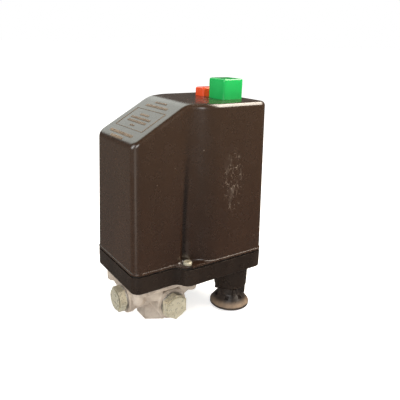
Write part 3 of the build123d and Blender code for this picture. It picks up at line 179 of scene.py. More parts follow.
def half_plan(front_half, rear_half, front_y, rear_y, bend_range, front_radius, rear_radius):
    """Half an outline from the middle of the front round +X. Sizes may differ from point to point."""
    count = 2 * ACROSS + 2 * ROUND + ALONG
    sizes = [np.broadcast_to(v, count) for v in (front_half, rear_half, front_y, rear_y)]
    parts = np.split(np.arange(count), np.cumsum([ACROSS, ROUND, ALONG, ROUND]))
    x, y = np.zeros(count), np.zeros(count)
    across = np.linspace(0, 1, ACROSS)
    turn = np.linspace(0, pi / 2, ROUND + 2)[1:-1]
    fh, rh, fy, ry = (s[parts[0]] for s in sizes)
    x[parts[0]], y[parts[0]] = across * (fh - front_radius), fy
    fh, rh, fy, ry = (s[parts[1]] for s in sizes)
    x[parts[1]] = fh - front_radius + front_radius * np.sin(turn)
    y[parts[1]] = fy + front_radius * (1 - np.cos(turn))
    fh, rh, fy, ry = (s[parts[2]] for s in sizes)
    side = np.linspace(0, 1, ALONG)
    y[parts[2]] = fy + front_radius + side * (ry - rear_radius - fy - front_radius)
    x[parts[2]] = fh + (rh - fh) * bend(y[parts[2]], *bend_range)
    fh, rh, fy, ry = (s[parts[3]] for s in sizes)
    x[parts[3]] = rh - rear_radius + rear_radius * np.cos(turn)
    y[parts[3]] = ry - rear_radius + rear_radius * np.sin(turn)
    fh, rh, fy, ry = (s[parts[4]] for s in sizes)
    x[parts[4]], y[parts[4]] = across[::-1] * (rh - rear_radius), ry
    return x, y


def ring(x, y, z):
    """Closed ring from half an outline and its mirror image."""
    half = np.stack([x, y, np.broadcast_to(z, len(x))], axis=1)
    return np.concatenate([half, (half * (-1, 1, 1))[-2:0:-1]])


def lip_ring(inset, z):
    """Ring on the outline shared by the tray and the cover's lip."""
    x, y = half_plan(
        FRONT_HALF - inset, REAR_HALF - inset, FRONT_Y + inset, REAR_Y - inset, LIP_BEND,
        FRONT_CORNER - inset, REAR_CORNER - inset,
    )
    return ring(x, y, z)


def wall_half(height, inset=0.0):
    """Half the outline of the drafted wall at a height above the lip."""
    side = LIP_PROUD + inset + height * SIDE_DRAFT
    return half_plan(
        FRONT_HALF - side, REAR_HALF - side, FRONT_Y + LIP_PROUD + inset + height * FRONT_DRAFT,
        REAR_Y - LIP_PROUD - inset - height * REAR_DRAFT, WALL_BEND,
        FRONT_CORNER - LIP_PROUD - 0.8 * inset, REAR_CORNER - LIP_PROUD - 0.8 * inset,
    )


def roof(y, drop=0.0):
    """Height of the roof and its rise per metre: slope, rounded break and flat."""
    run = (BREAK_RADIUS - drop) * tan(PITCH / 2)
    start, end = SLOPE_END_Y - run * cos(PITCH), SLOPE_END_Y + run
    slope_z = ROOF_TOP - drop - (SLOPE_END_Y - y) * tan(PITCH) - drop * (1 / cos(PITCH) - 1)
    across = np.clip((end - y) / BREAK_RADIUS, 0, sin(PITCH))
    arc_z = ROOF_TOP - drop - BREAK_RADIUS * (1 - np.sqrt(1 - across**2))
    z = np.where(y < start, slope_z, np.where(y > end, ROOF_TOP - drop, arc_z))
    rise = np.where(y < start, tan(PITCH), across / np.sqrt(1 - across**2))
    return z, rise


def inward(points):
    """Level unit vectors that point into a ring."""
    along = np.roll(points, -1, axis=0) - np.roll(points, 1, axis=0)
    normal = np.stack([-along[:, 1], along[:, 0], np.zeros(len(points))], axis=1)
    return normal / np.linalg.norm(normal, axis=1, keepdims=True)


# screwdriver grooves above the cover screws
GROOVE_DEPTH = 1.9 * MM
GROOVE_WIDTH = 2.8 * MM
GROOVE_SPREAD = 2.2 * MM
GROOVE_DRIFT = 3.4 * MM
GROOVE_SHIFT = 0.7 * MM


def groove(points):
    """Presses the screwdriver grooves into both sides: deep and narrow at the screw, fading upwards."""
    climb = np.clip((points[:, 2] - LIP_TOP) / (ROOF_TOP - LIP_TOP), 0, 1)
    centre = SCREW_Y - GROOVE_SHIFT + GROOVE_DRIFT * climb**1.4
    width = GROOVE_WIDTH + GROOVE_SPREAD * climb
    depth = GROOVE_DEPTH * (1 - climb) ** 1.3
    press = depth * np.exp(-np.abs((points[:, 1] - centre) / width) ** (3.2 - 1.2 * climb))
    beside = np.abs(points[:, 0]) > FRONT_HALF / 2
    points[:, 0] -= np.sign(points[:, 0]) * np.where(beside, press, 0)
    return points


def shell_of_rings(name, rings, caps):
    """Closed skin through rings of equal count, capped at both ends by grids at the given roof functions."""
    count = len(rings[0])
    points = list(np.concatenate(rings))
    faces = []
    for k in range(len(rings) - 1):
        a, b = k * count, (k + 1) * count
        faces += [(a + j, a + (j + 1) % count, b + (j + 1) % count, b + j) for j in range(count)]
    half = count // 2 + 1
    for k, height in ((0, caps[0]), (len(rings) - 1, caps[1])):
        base = k * count
        right = [base + j for j in range(half)]
        left = [base + (count - j) % count for j in range(half)]
        share = np.array([points[i][0] for i in right[:ACROSS]]) / points[right[ACROSS - 1]][0]
        shares = np.concatenate([-share[:0:-1], share])
        rows = [left[ACROSS - 1:0:-1] + right[:ACROSS]]
        for j in range(ACROSS, half - ACROSS):
            edge = points[right[j]]
            row = [left[j]]
            for part in shares[1:-1]:
                row.append(len(points))
                points.append((edge[0] * part, edge[1], height(edge[1]) if height else edge[2]))
            rows.append(row + [right[j]])
        rows.append(left[half - ACROSS:half] + right[half - ACROSS:half - 1][::-1])
        for low, high in zip(rows, rows[1:]):
            faces += [(low[i], low[i + 1], high[i + 1], high[i]) for i in range(len(low) - 1)]
    return make_object(name, points, faces)


BUTTONS = ("green_button", "red_button")
BUTTON_GAP = 0.5 * MM
WINDOW_CORNER = 0.8 * MM
# degrees between faces above which an edge stays sharp
COVER_SHARP, MARK_SHARP = 40, 50


def build_cover():
    """Drafted cover with a rounded top edge, a slanted front, screw grooves and a lip."""
    half_height = np.full(2 * ACROSS + 2 * ROUND + ALONG, ROOF_TOP - LIP_TOP)
    for _ in range(3):
        x, y = wall_half(half_height)
        half_height = roof(y)[0] - LIP_TOP
    corner = groove(ring(x, y, LIP_TOP + half_height))
    inner_height = half_height - WALL
    for _ in range(3):
        x, y = wall_half(inner_height, WALL)
        inner_height = roof(y, WALL)[0] - LIP_TOP
    inner_top = groove(ring(x, y, LIP_TOP + inner_height))
    rings = [inner_top]
    for level in (0.75, 0.5, 0.25, 0.0):
        rings.append(groove(ring(*wall_half(inner_height * level, WALL), LIP_TOP + inner_height * level)))
    rings.append(ring(*wall_half(0, WALL), LIP_BOTTOM))
    rings.append(lip_ring(LIP_EDGE, LIP_BOTTOM))
    rings.append(lip_ring(0, LIP_BOTTOM + LIP_EDGE))
    rings.append(lip_ring(0, LIP_TOP - LIP_EDGE))
    rings.append(lip_ring(0.3 * LIP_EDGE, LIP_TOP - 0.3 * LIP_EDGE))
    rings.append(lip_ring(LIP_EDGE, LIP_TOP))
    # hollow fillet from the ledge into the wall, wide where the ledge is wide
    foot = groove(ring(*wall_half(0), LIP_TOP))
    ledge = np.linalg.norm(rings[-1] - foot, axis=1)
    radius = np.clip(0.75 * ledge, 0.05 * MM, 2.0 * MM)
    into = inward(foot)
    for turn in np.linspace(0, pi / 2, 6)[:-1]:
        lift = radius * (1 - cos(turn))
        half_lift = lift[:len(x)]
        bulge = groove(ring(*wall_half(half_lift), LIP_TOP + half_lift))
        rings.append(bulge - into * (radius * (1 - sin(turn)))[:, None])
    start = radius[:len(x)]
    top = half_height - TOP_EDGE
    for level in np.linspace(0, 1, 72):
        height = start + (top - start) * level
        rings.append(groove(ring(*wall_half(height), LIP_TOP + height)))
    # rounded top edge and the rim of the roof
    into = inward(corner)
    rise = roof(corner[:, 1])[1]
    along_roof = into.copy()
    along_roof[:, 2] = rise * into[:, 1]
    along_roof /= np.linalg.norm(along_roof, axis=1, keepdims=True)
    low = rings[-1]
    down = low - corner
    down /= np.linalg.norm(down, axis=1, keepdims=True)
    weight = np.cos((pi - np.arccos(np.clip((down * along_roof).sum(1), -1, 1))) / 2)[:, None]
    high = corner + along_roof * TOP_EDGE
    for t in np.linspace(0, 1, 10)[1:]:
        a, b, c = (1 - t) ** 2, 2 * t * (1 - t) * weight, t**2
        rings.append((a * low + b * corner + c * high) / (a + b + c))
    for reach in (0.8 * MM, 1.8 * MM):
        rings.append(corner + along_roof * (TOP_EDGE + reach))
    cover = shell_of_rings("cover_moulding", rings, (None, None))
    for button in BUTTONS:
        low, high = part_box(button)
        gap = Vector((BUTTON_GAP, BUTTON_GAP, 0))
        window = rounded_box("window", low - gap, high + gap, WINDOW_CORNER)
        combine(cover, window, "DIFFERENCE")
    return smooth(cover, COVER_SHARP)


# ---------------------------------------------------------------- raised marks on the slope
MARK_RISE = 0.3 * MM
MARK_GAP = 0.7 * MM
MARK_LENGTHS = (0.9, 2.6)
MARK_INSET = 0.12 * MM
MARK_ROUNDING = 0.08 * MM
# each row's distance from the foot of the slope, left end, right end and height, in millimetres
MARK_ROWS = [
    (6.0, -10, 10, 2.4),
    (10.5, -19, 18, 2.8),
    (21.0, -3, 4, 1.8),
    (25.5, -14, 14, 2.4),
    (29.5, -15, 15, 2.4),
    (34.0, -7, 7, 2.2),
    (45.5, -16, 16, 2.6),
    (50.5, -9, 9, 2.0),
]
FRAME_LINE = 0.5 * MM
FRAME_HALF, FRAME_LOW, FRAME_HIGH = 22 * MM, 17 * MM, 40.5 * MM


def on_slope(x, along, rise):
    """Point above the slope, from its distance to the foot and its height off the surface."""
    y = FRONT_Y + along * cos(PITCH) - rise * sin(PITCH)
    return Vector((x, y, SLOPE_FOOT_Z + along * sin(PITCH) + rise * cos(PITCH)))


def add_bar(shell, left, right, low, high):
    """Raised bar between two places across the slope and two along it."""
    corners = []
    for rise, inset in ((-MARK_RISE, 0.0), (MARK_RISE, MARK_INSET)):
        near, far = left + inset, right - inset
        for x, along in ((near, low + inset), (far, low + inset), (far, high - inset), (near, high - inset)):
            corners.append(shell.verts.new(on_slope(x, along, rise)))
    shell.faces.new(corners[:4])
    shell.faces.new(corners[4:])
    for i in range(4):
        after = (i + 1) % 4
        shell.faces.new((corners[i], corners[after], corners[4 + after], corners[4 + i]))


def build_marks():
    """Rows of short bars and a thin frame, which stand for the moulded legend without saying anything."""
    shell = bmesh.new()
    chance = np.random.default_rng(7)
    for middle, left, right, height in MARK_ROWS:
        x = left * MM
        while x < right * MM - MM:
            end = min(x + chance.uniform(*MARK_LENGTHS) * MM, right * MM)
            add_bar(shell, x, end, (middle - height / 2) * MM, (middle + height / 2) * MM)
            x = end + MARK_GAP * chance.uniform(0.8, 1.6)
    for x in (-FRAME_HALF, FRAME_HALF - FRAME_LINE):
        add_bar(shell, x, x + FRAME_LINE, FRAME_LOW, FRAME_HIGH)
    for along in (FRAME_LOW, FRAME_HIGH - FRAME_LINE):
        add_bar(shell, -FRAME_HALF + FRAME_LINE, FRAME_HALF - FRAME_LINE, along, along + FRAME_LINE)
    bmesh.ops.bevel(
        shell, geom=list(shell.edges), offset=MARK_ROUNDING, segments=2, profile=0.5, affect="EDGES",
        clamp_overlap=True,
    )
    return smooth(bm_object("slope_marks", shell), MARK_SHARP)


# ---------------------------------------------------------------- manifold casting
WEB_THICKNESS = 4.2 * MM
WEB_DROP = 1.5 * MM
WEB_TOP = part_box("manifold")[1].z - WEB_DROP
CASTING_CELL = 0.5 * MM
CASTING_SOFTENING = 4
FLANGE_HEAD_R = 4.1 * MM
WASHER_THICKNESS = 1.3 * MM
# how far behind the ports' faces the webs end
WEB_SET_BACK = 2.6 * MM


def add_web(shell, lug, port, lug_low, port_low):
    """Upright web from a lug to a port, with a lower edge that falls towards the port."""
    lug, port = Vector((*lug, 0)), Vector((*port, 0))
    side = (port - lug).normalized().cross(Vector((0, 0, 1))) * WEB_THICKNESS / 2
    corners = []
    for place, low in ((lug, lug_low), (port, port_low)):
        for height in (low, WEB_TOP):
            for way in (-1, 1):
                corners.append(shell.verts.new(place + side * way + Vector((0, 0, height))))
    for quad in ((0, 1, 3, 2), (4, 6, 7, 5), (0, 2, 6, 4), (1, 5, 7, 3), (0, 4, 5, 1), (2, 3, 7, 6)):
        shell.faces.new([corners[i] for i in quad])


def build_manifold():
    """The casting: the CAD shape with webs between lugs and ports, and the soft edges a mould leaves."""
    low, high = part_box("flange_screws")
    web_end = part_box("plug_washers")[1].x - WASHER_THICKNESS - WEB_SET_BACK
    shell = bmesh.new()
    shell.from_mesh(nodes["manifold"].data)
    for x in (-1, 1):
        lug_x = x * (high.x - FLANGE_HEAD_R)
        front, rear = low.y + FLANGE_HEAD_R, high.y - FLANGE_HEAD_R
        add_web(shell, (lug_x, front), (x * 9 * MM, -web_end), 30 * MM, 25 * MM)
        add_web(shell, (lug_x, front), (x * web_end, -8 * MM), 31 * MM, 27 * MM)
        add_web(shell, (lug_x, rear), (x * web_end, 8 * MM), 30 * MM, 26 * MM)
    return voxel(bm_object("manifold_casting", shell), CASTING_CELL, CASTING_SOFTENING)


BUTTON_CELL = 0.4 * MM
BUTTON_SOFTENING = 14


def build_button(node):
    """A push button with the soft edges of a moulding, its skirt and stem as in the CAD."""
    shell = bmesh.new()
    shell.from_mesh(nodes[node].data)
    return voxel(bm_object(node + "_moulding", shell), BUTTON_CELL, BUTTON_SOFTENING)


# ---------------------------------------------------------------- materials
class Finish:
    """A procedural material: a Principled shader with short calls for the nodes that feed it."""

    def __init__(self, name):
        self.material = bpy.data.materials.new(name)
        self.material.use_nodes = True
        self.nodes = self.material.node_tree.nodes
        self.link = self.material.node_tree.links.new
        self.nodes.clear()
        self.shader = self.nodes.new("ShaderNodeBsdfPrincipled")
        output = self.nodes.new("ShaderNodeOutputMaterial")
        self.link(self.shader.outputs[0], output.inputs[0])
        self.place = self.nodes.new("ShaderNodeTexCoord").outputs["Object"]

    def put(self, node, values):
        """Sets or links a node's inputs, by name or number."""
        for key, value in values.items():
            if isinstance(value, bpy.types.NodeSocket):
                self.link(value, node.inputs[key])
            else:
                node.inputs[key].default_value = value
        return node

    def set(self, **values):
        """Inputs of the shader, with underscores for the blanks in their names."""
        self.put(self.shader, {key.replace("_", " "): value for key, value in values.items()})
        return self.material

    def stretch(self, scale, turn=(0, 0, 0)):
        """Object coordinates, turned and then scaled along each axis."""
        node = self.nodes.new("ShaderNodeMapping")
        return self.put(node, {0: self.place, "Scale": scale, "Rotation": turn}).outputs[0]

    def noise(self, scale, detail=3.0, roughness=0.55, place=None, distortion=0.0):
        node = self.put(self.nodes.new("ShaderNodeTexNoise"), {
            "Vector": place or self.place, "Scale": scale, "Detail": detail, "Roughness": roughness,
            "Distortion": distortion,
        })
        return node.outputs[0]

    def cells(self, scale, feature="F1", place=None, randomness=1.0):
        node = self.nodes.new("ShaderNodeTexVoronoi")
        node.feature = feature
        self.put(node, {"Vector": place or self.place, "Scale": scale, "Randomness": randomness})
        return node.outputs

    def math(self, operation, a, b=0.0, clamp=False, c=0.0):
        node = self.nodes.new("ShaderNodeMath")
        node.operation, node.use_clamp = operation, clamp
        return self.put(node, {0: a, 1: b, 2: c}).outputs[0]

    def fade(self, value, low, high, out_low=0.0, out_high=1.0):
        """Smooth step of a value between two limits."""
        node = self.nodes.new("ShaderNodeMapRange")
        node.interpolation_type = "SMOOTHSTEP"
        return self.put(node, {0: value, 1: low, 2: high, 3: out_low, 4: out_high}).outputs[0]

    def mix(self, share, a, b):
        """Colour between a and b."""
        node = self.nodes.new("ShaderNodeMix")
        node.data_type = "RGBA"
        return self.put(node, {0: share, 6: a, 7: b}).outputs[2]

    def axis(self, index):
        """X, Y or Z of the place, in metres."""
        return self.put(self.nodes.new("ShaderNodeSeparateXYZ"), {0: self.place}).outputs[index]

    def length(self):
        """Distance from the origin."""
        node = self.nodes.new("ShaderNodeVectorMath")
        node.operation = "LENGTH"
        return self.put(node, {0: self.place}).outputs["Value"]

    def facing(self, direction):
        """How much the surface faces a direction."""
        node = self.nodes.new("ShaderNodeVectorMath")
        node.operation = "DOT_PRODUCT"
        normal = self.nodes.new("ShaderNodeNewGeometry").outputs["Normal"]
        return self.put(node, {0: normal, 1: direction}).outputs["Value"]

    def edges(self, radius):
        """0 on flat surfaces and towards 1 where a sharp or rounded edge lies within radius."""
        bevel = self.put(self.nodes.new("ShaderNodeBevel"), {"Radius": radius}).outputs[0]
        node = self.nodes.new("ShaderNodeVectorMath")
        node.operation = "DOT_PRODUCT"
        normal = self.nodes.new("ShaderNodeNewGeometry").outputs["Normal"]
        straight = self.put(node, {0: normal, 1: bevel}).outputs["Value"]
        return self.fade(straight, 0.995, 0.85)

    def bump(self, height, distance, strength=1.0, rounding=None):
        node = self.put(self.nodes.new("ShaderNodeBump"), {
            "Height": height, "Distance": distance, "Strength": strength,
        })
        if rounding:
            soft = self.put(self.nodes.new("ShaderNodeBevel"), {"Radius": rounding}).outputs[0]
            self.link(soft, node.inputs["Normal"])
        return node.outputs[0]


def rgb(red, green, blue):
    """Linear colour from 8-bit display values."""
    shares = [v / 255 for v in (red, green, blue)]
    return tuple(((v + 0.055) / 1.055) ** 2.4 if v > 0.04 else v / 12.92 for v in shares) + (1,)


def moulded(name, colour, tint, roughness=0.4, grain=0.02 * MM, wear=None, coat=0.0, rounding=None):
    """Moulded plastic: faint flow marks, fine grain, patchy roughness and, given a wear colour, rubbed edges."""
    f = Finish(name)
    flow = f.noise(38, 4, 0.6, f.stretch((1, 1, 0.35)))
    base = f.mix(f.fade(flow, 0.35, 0.7), colour, tint)
    fine = f.noise(2600, 3, 0.6)
    dull = f.fade(f.noise(160, 5, 0.65), 0.3, 0.75, roughness - 0.05, roughness + 0.07)
    if wear:
        rubbed = f.math("MULTIPLY", f.edges(0.35 * MM), f.fade(f.noise(420, 4, 0.7), 0.42, 0.66))
        base = f.mix(f.math("MULTIPLY", rubbed, 0.55), base, wear)
    return f.set(
        Base_Color=base, Roughness=dull, Coat_Weight=coat, Coat_Roughness=0.12,
        Normal=f.bump(fine, grain, 0.35, rounding),
    )


# axis, middle and reach of the scuffed patch
SCUFF_PATCH = ((1, 48 * MM, 12 * MM), (2, 125 * MM, 27 * MM))


def cover_finish():
    """Bronze-brown satin plastic of the cover, with scuffs on one side, dusty specks and pale rubbed edges; also
    painted light towards the roof, a painted reflection on the slope and painted shade in the screw grooves.
    """
    f = Finish("cover_satin")
    flow = f.noise(16, 4, 0.55, f.stretch((1, 1, 0.3)))
    base = f.mix(f.fade(flow, 0.3, 0.72), rgb(43, 26, 15), rgb(52, 33, 20))
    # painted light: the walls are mixed towards a paler brown up towards the roof
    high = f.fade(f.axis(2), LIP_TOP, ROOF_TOP, 0.0, 0.55)
    base = f.mix(high, base, rgb(58, 42, 28))
    # painted reflection: faces turned like the slope are greyed towards a softbox's sheen
    slanted = f.fade(f.facing((0, -sin(PITCH), cos(PITCH))), 0.93, 0.99)
    base = f.mix(f.math("MULTIPLY", slanted, 0.4), base, rgb(72, 70, 60))
    # painted shade down the screw grooves, darkest at the screw and fading upwards
    climb = f.fade(f.axis(2), LIP_TOP, ROOF_TOP)
    centre = f.math("MULTIPLY_ADD", climb, GROOVE_DRIFT, c=SCREW_Y - GROOVE_SHIFT)
    beside = f.math("ABSOLUTE", f.math("SUBTRACT", f.axis(1), centre))
    painted_groove_shade = f.math("MULTIPLY", f.fade(beside, GROOVE_WIDTH, 0.2 * GROOVE_WIDTH), f.fade(climb, 1.0, 0.3))
    on_side = f.fade(f.math("ABSOLUTE", f.axis(0)), 28 * MM, 30 * MM)
    base = f.mix(f.math("MULTIPLY", f.math("MULTIPLY", painted_groove_shade, on_side), 0.9), base, rgb(20, 12, 8))
    rubbed = f.math("MULTIPLY", f.edges(1.2 * MM), f.fade(f.noise(300, 5, 0.7), 0.4, 0.7))
    base = f.mix(f.math("MULTIPLY", rubbed, 0.35), base, rgb(150, 126, 104))
    # cloud of scuffs: thin branching scratches and chalky blots inside an upright patch
    patch = None
    for index, centre, reach in SCUFF_PATCH:
        offset = f.math("DIVIDE", f.math("SUBTRACT", f.axis(index), centre), reach)
        square = f.math("MULTIPLY", offset, offset)
        patch = square if patch is None else f.math("ADD", patch, square)
    patch = f.math("MULTIPLY", f.fade(patch, 1.1, 0.1), f.fade(f.axis(0), 0.0, 30 * MM))
    warped = f.stretch((1, 1, 0.45), (0.5, 0, 0))
    scratch = f.fade(f.cells(260, "DISTANCE_TO_EDGE", warped)[0], 0.035, 0.0)
    broken = f.fade(f.noise(190, 4, 0.6), 0.5, 0.62)
    blot = f.fade(f.noise(620, 6, 0.75, f.stretch((1, 1, 0.6))), 0.56, 0.68)
    mark = f.math("ADD", f.math("MULTIPLY", scratch, broken), f.math("MULTIPLY", blot, 0.8), True)
    mark = f.math("MULTIPLY", mark, patch)
    speck = f.fade(f.cells(115)["Distance"], 0.055, 0.03)
    chosen = f.fade(f.noise(45, 2, 0.5), 0.5, 0.56)
    mark = f.math("MAXIMUM", mark, f.math("MULTIPLY", f.math("MULTIPLY", speck, chosen), 0.5))
    base = f.mix(f.math("MULTIPLY", mark, 0.6), base, rgb(188, 170, 152))
    rough = f.fade(f.noise(90, 5, 0.65), 0.3, 0.75, 0.22, 0.31)
    rough = f.math("ADD", rough, f.math("MULTIPLY", mark, 0.3))
    fine = f.math("ADD", f.noise(1700, 3, 0.6), f.math("MULTIPLY", f.noise(60, 2, 0.5), 30.0))
    return f.set(
        Base_Color=base, Roughness=rough, Specular_IOR_Level=0.8, Coat_Weight=0.3, Coat_Roughness=0.25,
        Normal=f.bump(fine, 0.004 * MM, 0.15),
    )


def gland_finish():
    """Dark moulded plastic of the cable glands, with a pale dusty film on the flare that is partly painted light.
    """
    f = Finish("gland_satin")
    base = f.mix(f.fade(f.noise(60, 4, 0.6), 0.35, 0.7), rgb(40, 33, 29), rgb(52, 44, 39))
    rubbed = f.math("MULTIPLY", f.edges(0.4 * MM), f.fade(f.noise(420, 4, 0.7), 0.42, 0.66))
    base = f.mix(f.math("MULTIPLY", rubbed, 0.5), base, rgb(120, 104, 90))
    # partly dusty film, partly painted light: low flare faces turned up and towards the lamps are paled in patches
    # and made rougher
    low = f.fade(f.axis(2), 8.5 * MM, 4.5 * MM)
    flare_lamp_side = f.math("MULTIPLY", low, f.fade(f.facing((0.35, -0.2, 0.9)), 0.25, 0.8))
    flare_dust_and_light = f.math("MULTIPLY", flare_lamp_side, f.fade(f.noise(260, 5, 0.65), 0.25, 0.6, 0.5, 0.95))
    base = f.mix(flare_dust_and_light, base, rgb(140, 120, 100))
    rough = f.math("ADD", 0.36, f.math("MULTIPLY", flare_dust_and_light, 0.3))
    return f.set(Base_Color=base, Roughness=rough, Normal=f.bump(f.noise(2200, 3, 0.6), 0.012 * MM, 0.3))


def cast_finish():
    """Grey zinc casting: mottled skin, fine pits, brighter rubbed edges."""
    f = Finish("cast_metal")
    cloud = f.noise(120, 6, 0.65)
    base = f.mix(f.fade(cloud, 0.35, 0.68), rgb(178, 164, 150), rgb(206, 194, 180))
    stain = f.fade(f.noise(55, 4, 0.6, distortion=1.0), 0.55, 0.75)
    base = f.mix(f.math("MULTIPLY", stain, 0.45), base, rgb(140, 122, 106))
    base = f.mix(f.math("MULTIPLY", f.edges(0.6 * MM), 0.5), base, rgb(216, 208, 198))
    pits = f.fade(f.cells(700)["Distance"], 0.1, 0.35)
    skin = f.math("ADD", f.noise(520, 5, 0.7), f.math("MULTIPLY", pits, 0.35))
    rough = f.fade(f.noise(260, 4, 0.6), 0.3, 0.7, 0.4, 0.55)
    return f.set(Base_Color=base, Metallic=0.3, Roughness=rough, Normal=f.bump(skin, 0.14 * MM, 0.6))


def metal(name, colour, tint, roughness=0.3, metallic=1.0, lines=None, rounding=0.12 * MM):
    """Plated or drawn metal: patchy film, fine scratches and softened edges."""
    f = Finish(name)
    film = f.fade(f.noise(240, 5, 0.65), 0.35, 0.7)
    base = f.mix(film, colour, tint)
    stain = f.fade(f.noise(300, 4, 0.6), 0.6, 0.78)
    base = f.mix(f.math("MULTIPLY", stain, 0.16), base, tuple(0.45 * c for c in colour[:3]) + (1,))
    marks = f.noise(700, 3, 0.5, f.stretch(lines or (1, 1, 1)))
    rough = f.fade(f.noise(330, 4, 0.6), 0.3, 0.7, roughness - 0.06, roughness + 0.1)
    return f.set(
        Base_Color=base, Metallic=metallic, Roughness=rough,
        Normal=f.bump(marks, 0.012 * MM, 0.35, rounding),
    )


def rubber():
    f = Finish("black_rubber_finish")
    bloom = f.fade(f.noise(150, 4, 0.6), 0.4, 0.75)
    base = f.mix(bloom, rgb(22, 21, 20), rgb(36, 34, 32))
    return f.set(Base_Color=base, Roughness=0.75, Normal=f.bump(f.noise(1200, 3, 0.6), 0.05 * MM, 0.4))


# one finish for each material slot
FINISHES = {
    "cover_plastic": cover_finish(),
    "tray_plastic": moulded(
        "tray_satin", rgb(32, 23, 17), rgb(41, 31, 24), 0.3, 0.008 * MM, wear=rgb(150, 130, 112)),
    "gland_plastic": gland_finish(),
    "green_plastic": moulded(
        "green_gloss", rgb(30, 182, 86), rgb(40, 192, 96), 0.17, 0.008 * MM, rgb(120, 215, 150), 0.3),
    "red_plastic": moulded(
        "red_gloss", rgb(255, 84, 40), rgb(255, 98, 52), 0.18, 0.008 * MM, rgb(255, 160, 130), 0.3),
    "white_plastic": moulded("white_satin", rgb(214, 210, 198), rgb(226, 223, 214), 0.38),
    "dark_bakelite": moulded("bakelite", rgb(30, 27, 25), rgb(42, 38, 35), 0.36, wear=rgb(90, 84, 78)),
    "black_rubber": rubber(),
    "cast_zinc": cast_finish(),
    "soft_aluminium": metal("turned_aluminium", rgb(205, 203, 200), rgb(178, 176, 172), 0.34),
    "zinc_plated_steel": metal("zinc_plate", rgb(214, 208, 186), rgb(196, 189, 165), 0.3, 0.45),
    "bright_steel": metal("bright_steel_finish", rgb(226, 224, 214), rgb(200, 198, 190), 0.24, 0.7),
    "spring_steel": metal("spring_wire", rgb(138, 140, 146), rgb(110, 112, 118), 0.3),
    "brass": metal("stamped_brass", rgb(206, 168, 92), rgb(176, 138, 70), 0.28),
}
SLOTS = {part["node"]: part["material_slot"] for part in frame["record"]["subparts"]}


def paint(obj, slot):
    """Gives a piece the finish of a material slot."""
    obj.data.materials.clear()
    obj.data.materials.append(FINISHES[slot])
    return obj


def stand_for(obj, node):
    """obj takes a CAD node's place, body and finish."""
    body = next(b for b, members in frame["record"]["behaviour"]["bodies"].items() if node in members)
    paint(obj, SLOTS[node])
    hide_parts(node)
    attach(obj, body)
    return obj


# ---------------------------------------------------------------- CAD nodes that stay, softened and painted
# widths of the rounded edges, in millimetres
BEVELS = {
    "base_tray": 0.6, "port_plugs": 0.3, "plug_washers": 0.2, "cover_screws": 0.2, "gland_nut": 0.35,
}
WELD_DISTANCE = 0.005 * MM
SHARP_ANGLE = radians(35)


def soften(node, width):
    """Rounds the sharp edges of a CAD node by modifiers, which leave its mesh as it is."""
    node.modifiers.new("weld", "WELD").merge_threshold = WELD_DISTANCE
    bevel = node.modifiers.new("bevel", "BEVEL")
    bevel.width = width
    bevel.segments = 3
    bevel.limit_method = "ANGLE"
    bevel.angle_limit = SHARP_ANGLE
    bevel.harden_normals = False
    node.modifiers.new("weighted", "WEIGHTED_NORMAL").keep_sharp = True


for name, node in nodes.items():
    node.data.materials.clear()
    node.data.materials.append(FINISHES[SLOTS[name]])
    if name in BEVELS:
        soften(node, BEVELS[name] * MM)

stand_for(build_cover(), "cover")
stand_for(build_manifold(), "manifold")
for button in BUTTONS:
    stand_for(build_button(button), button)


# ---------------------------------------------------------------- copies of the springs that joints press
MOST_PRESSED = 0.9


def press_spring(name, joint):
    """A copy of a spring that a joint presses, which takes the CAD node's place, body and finish with a mesh of
    its own.
    """
    low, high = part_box(name)
    length = high.z - low.z
    travel = max(abs(limit) for limit in joint["range_m"])
    # the diaphragm moves about as far as it is thick, so it stays as it is
    if travel > MOST_PRESSED * length:
        return
    spring = bpy.data.objects.new(name + "_pressed", nodes[name].data.copy())
    bpy.context.scene.collection.objects.link(spring)
    stand_for(spring, name)
    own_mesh(spring)


# a spring pressed by two joints is copied once, for the first of them
pressed = set()
for joint in frame["joints"]:
    for member in joint.get("deforming_nodes", []):
        if member["node"] not in pressed:
            pressed.add(member["node"])
            press_spring(member["node"], joint)

marks = build_marks()
# pale tan marks: partly wear rubbed into the raised legend, partly a painted highlight on it
marks.data.materials.append(moulded("mark_wear_and_sheen", rgb(108, 90, 72), rgb(136, 116, 94), 0.34))
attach(marks, "cover_shell")

# ---------------------------------------------------------------- floor and lights
FLOOR_HALF = 60.0
floor_mesh = bmesh.new()
bmesh.ops.create_grid(floor_mesh, x_segments=1, y_segments=1, size=FLOOR_HALF)
floor = bm_object("floor", floor_mesh)
floor_finish = Finish("pale_floor")
# it glows a little less round the object, so that the contact shadow shows
glow = floor_finish.fade(floor_finish.length(), 0.25, 1.6, 0.62, 1.0)
floor_finish.set(
    Base_Color=(0.9, 0.9, 0.9, 1), Roughness=0.9, Emission_Color=(1, 1, 1, 1), Emission_Strength=glow,
)
floor.data.materials.append(floor_finish.material)
floor.visible_glossy = False

# the camera sees white behind the object, and the object reflects dimmer surroundings
SURROUNDINGS = 0.1
world = bpy.data.worlds.new("studio")
bpy.context.scene.world = world
world.use_nodes = True
tree = world.node_tree
tree.nodes.clear()
seen = tree.nodes.new("ShaderNodeLightPath").outputs["Is Camera Ray"]
around = tree.nodes.new("ShaderNodeBackground")
around.inputs[0].default_value = (1.0, 0.97, 0.93, 1)
around.inputs[1].default_value = SURROUNDINGS
behind = tree.nodes.new("ShaderNodeBackground")
behind.inputs[0].default_value = (1, 1, 1, 1)
mixer = tree.nodes.new("ShaderNodeMixShader")
surface = tree.nodes.new("ShaderNodeOutputWorld")
tree.links.new(seen, mixer.inputs[0])
tree.links.new(around.outputs[0], mixer.inputs[1])
tree.links.new(behind.outputs[0], mixer.inputs[2])
tree.links.new(mixer.outputs[0], surface.inputs[0])

# the middle of the object, roughly, where the lights point
TARGET = Vector((7.8, 31.2, 106.2)) * MM


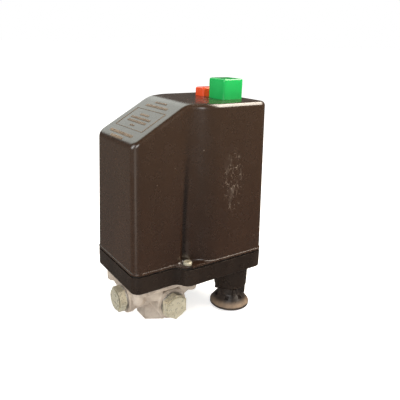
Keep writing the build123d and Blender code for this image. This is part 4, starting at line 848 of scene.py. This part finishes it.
def softbox(name, direction, distance, size, radiance, tint):
    """Square area light that points at the object, as bright as radiance over its face."""
    light = bpy.data.lights.new(name, "AREA")
    light.size = size
    light.energy = radiance * pi * size**2
    light.color = tint
    obj = bpy.data.objects.new(name, light)
    bpy.context.scene.collection.objects.link(obj)
    way = Vector(direction).normalized()
    obj.location = TARGET + way * distance
    obj.rotation_mode = "QUATERNION"
    obj.rotation_quaternion = way.to_track_quat("Z", "Y")
    obj.visible_camera = False


WHITE, AMBER = (1, 1, 1), (1.0, 0.9, 0.78)
# name, direction from the object, distance, size, radiance and tint
SOFTBOXES = [
    ("overhead", (0.02, 0.53, 0.85), 0.9, 0.42, 12.0, AMBER),
    ("overhead_right", (0.5, 0.53, 0.67), 0.9, 0.42, 12.0, AMBER),
    ("low_front", (0.53, -0.79, -0.2), 1.0, 0.4, 0.8, (1.0, 0.92, 0.82)),
    ("left", (-0.79, 0.05, 0.61), 1.2, 0.9, 1.35, (0.94, 1.0, 0.95)),
    ("front_left", (-0.79, -0.54, -0.28), 0.9, 0.45, 0.07, (1.0, 0.92, 0.8)),
    ("front_fill", (-0.15, -1.0, 0.4), 1.2, 0.6, 5.0, WHITE),
    ("camera_side", (0.9, -0.8, 0.5), 1.2, 0.6, 5.0, WHITE),
]
for row in SOFTBOXES:
    softbox(*row)

# ---------------------------------------------------------------- camera
AZIMUTH, ELEVATION, ROLL = radians(56.07), radians(18.21), radians(1.44)
CAMERA_PLACE = Vector((313.2, -174.2, 227.3)) * MM
FOCAL_LENGTH = 41.28
SHIFT = (0.022, -0.01375)
back = Vector((sin(AZIMUTH) * cos(ELEVATION), -cos(AZIMUTH) * cos(ELEVATION), sin(ELEVATION)))
level = Vector((cos(AZIMUTH), sin(AZIMUTH), 0))
upright = back.cross(level)
right = cos(ROLL) * level + sin(ROLL) * upright
up = cos(ROLL) * upright - sin(ROLL) * level
camera_data = bpy.data.cameras.new("camera")
camera = bpy.data.objects.new("camera", camera_data)
bpy.context.scene.collection.objects.link(camera)
turn = Matrix((right, up, back)).transposed()
camera.matrix_world = Matrix.Translation(CAMERA_PLACE) @ turn.to_4x4()
camera_data.lens = FOCAL_LENGTH
camera_data.sensor_width = 36.0
camera_data.shift_x, camera_data.shift_y = SHIFT
camera_data.clip_start = 0.01
bpy.context.scene.camera = camera
bpy.context.scene.view_settings.view_transform = "Standard"
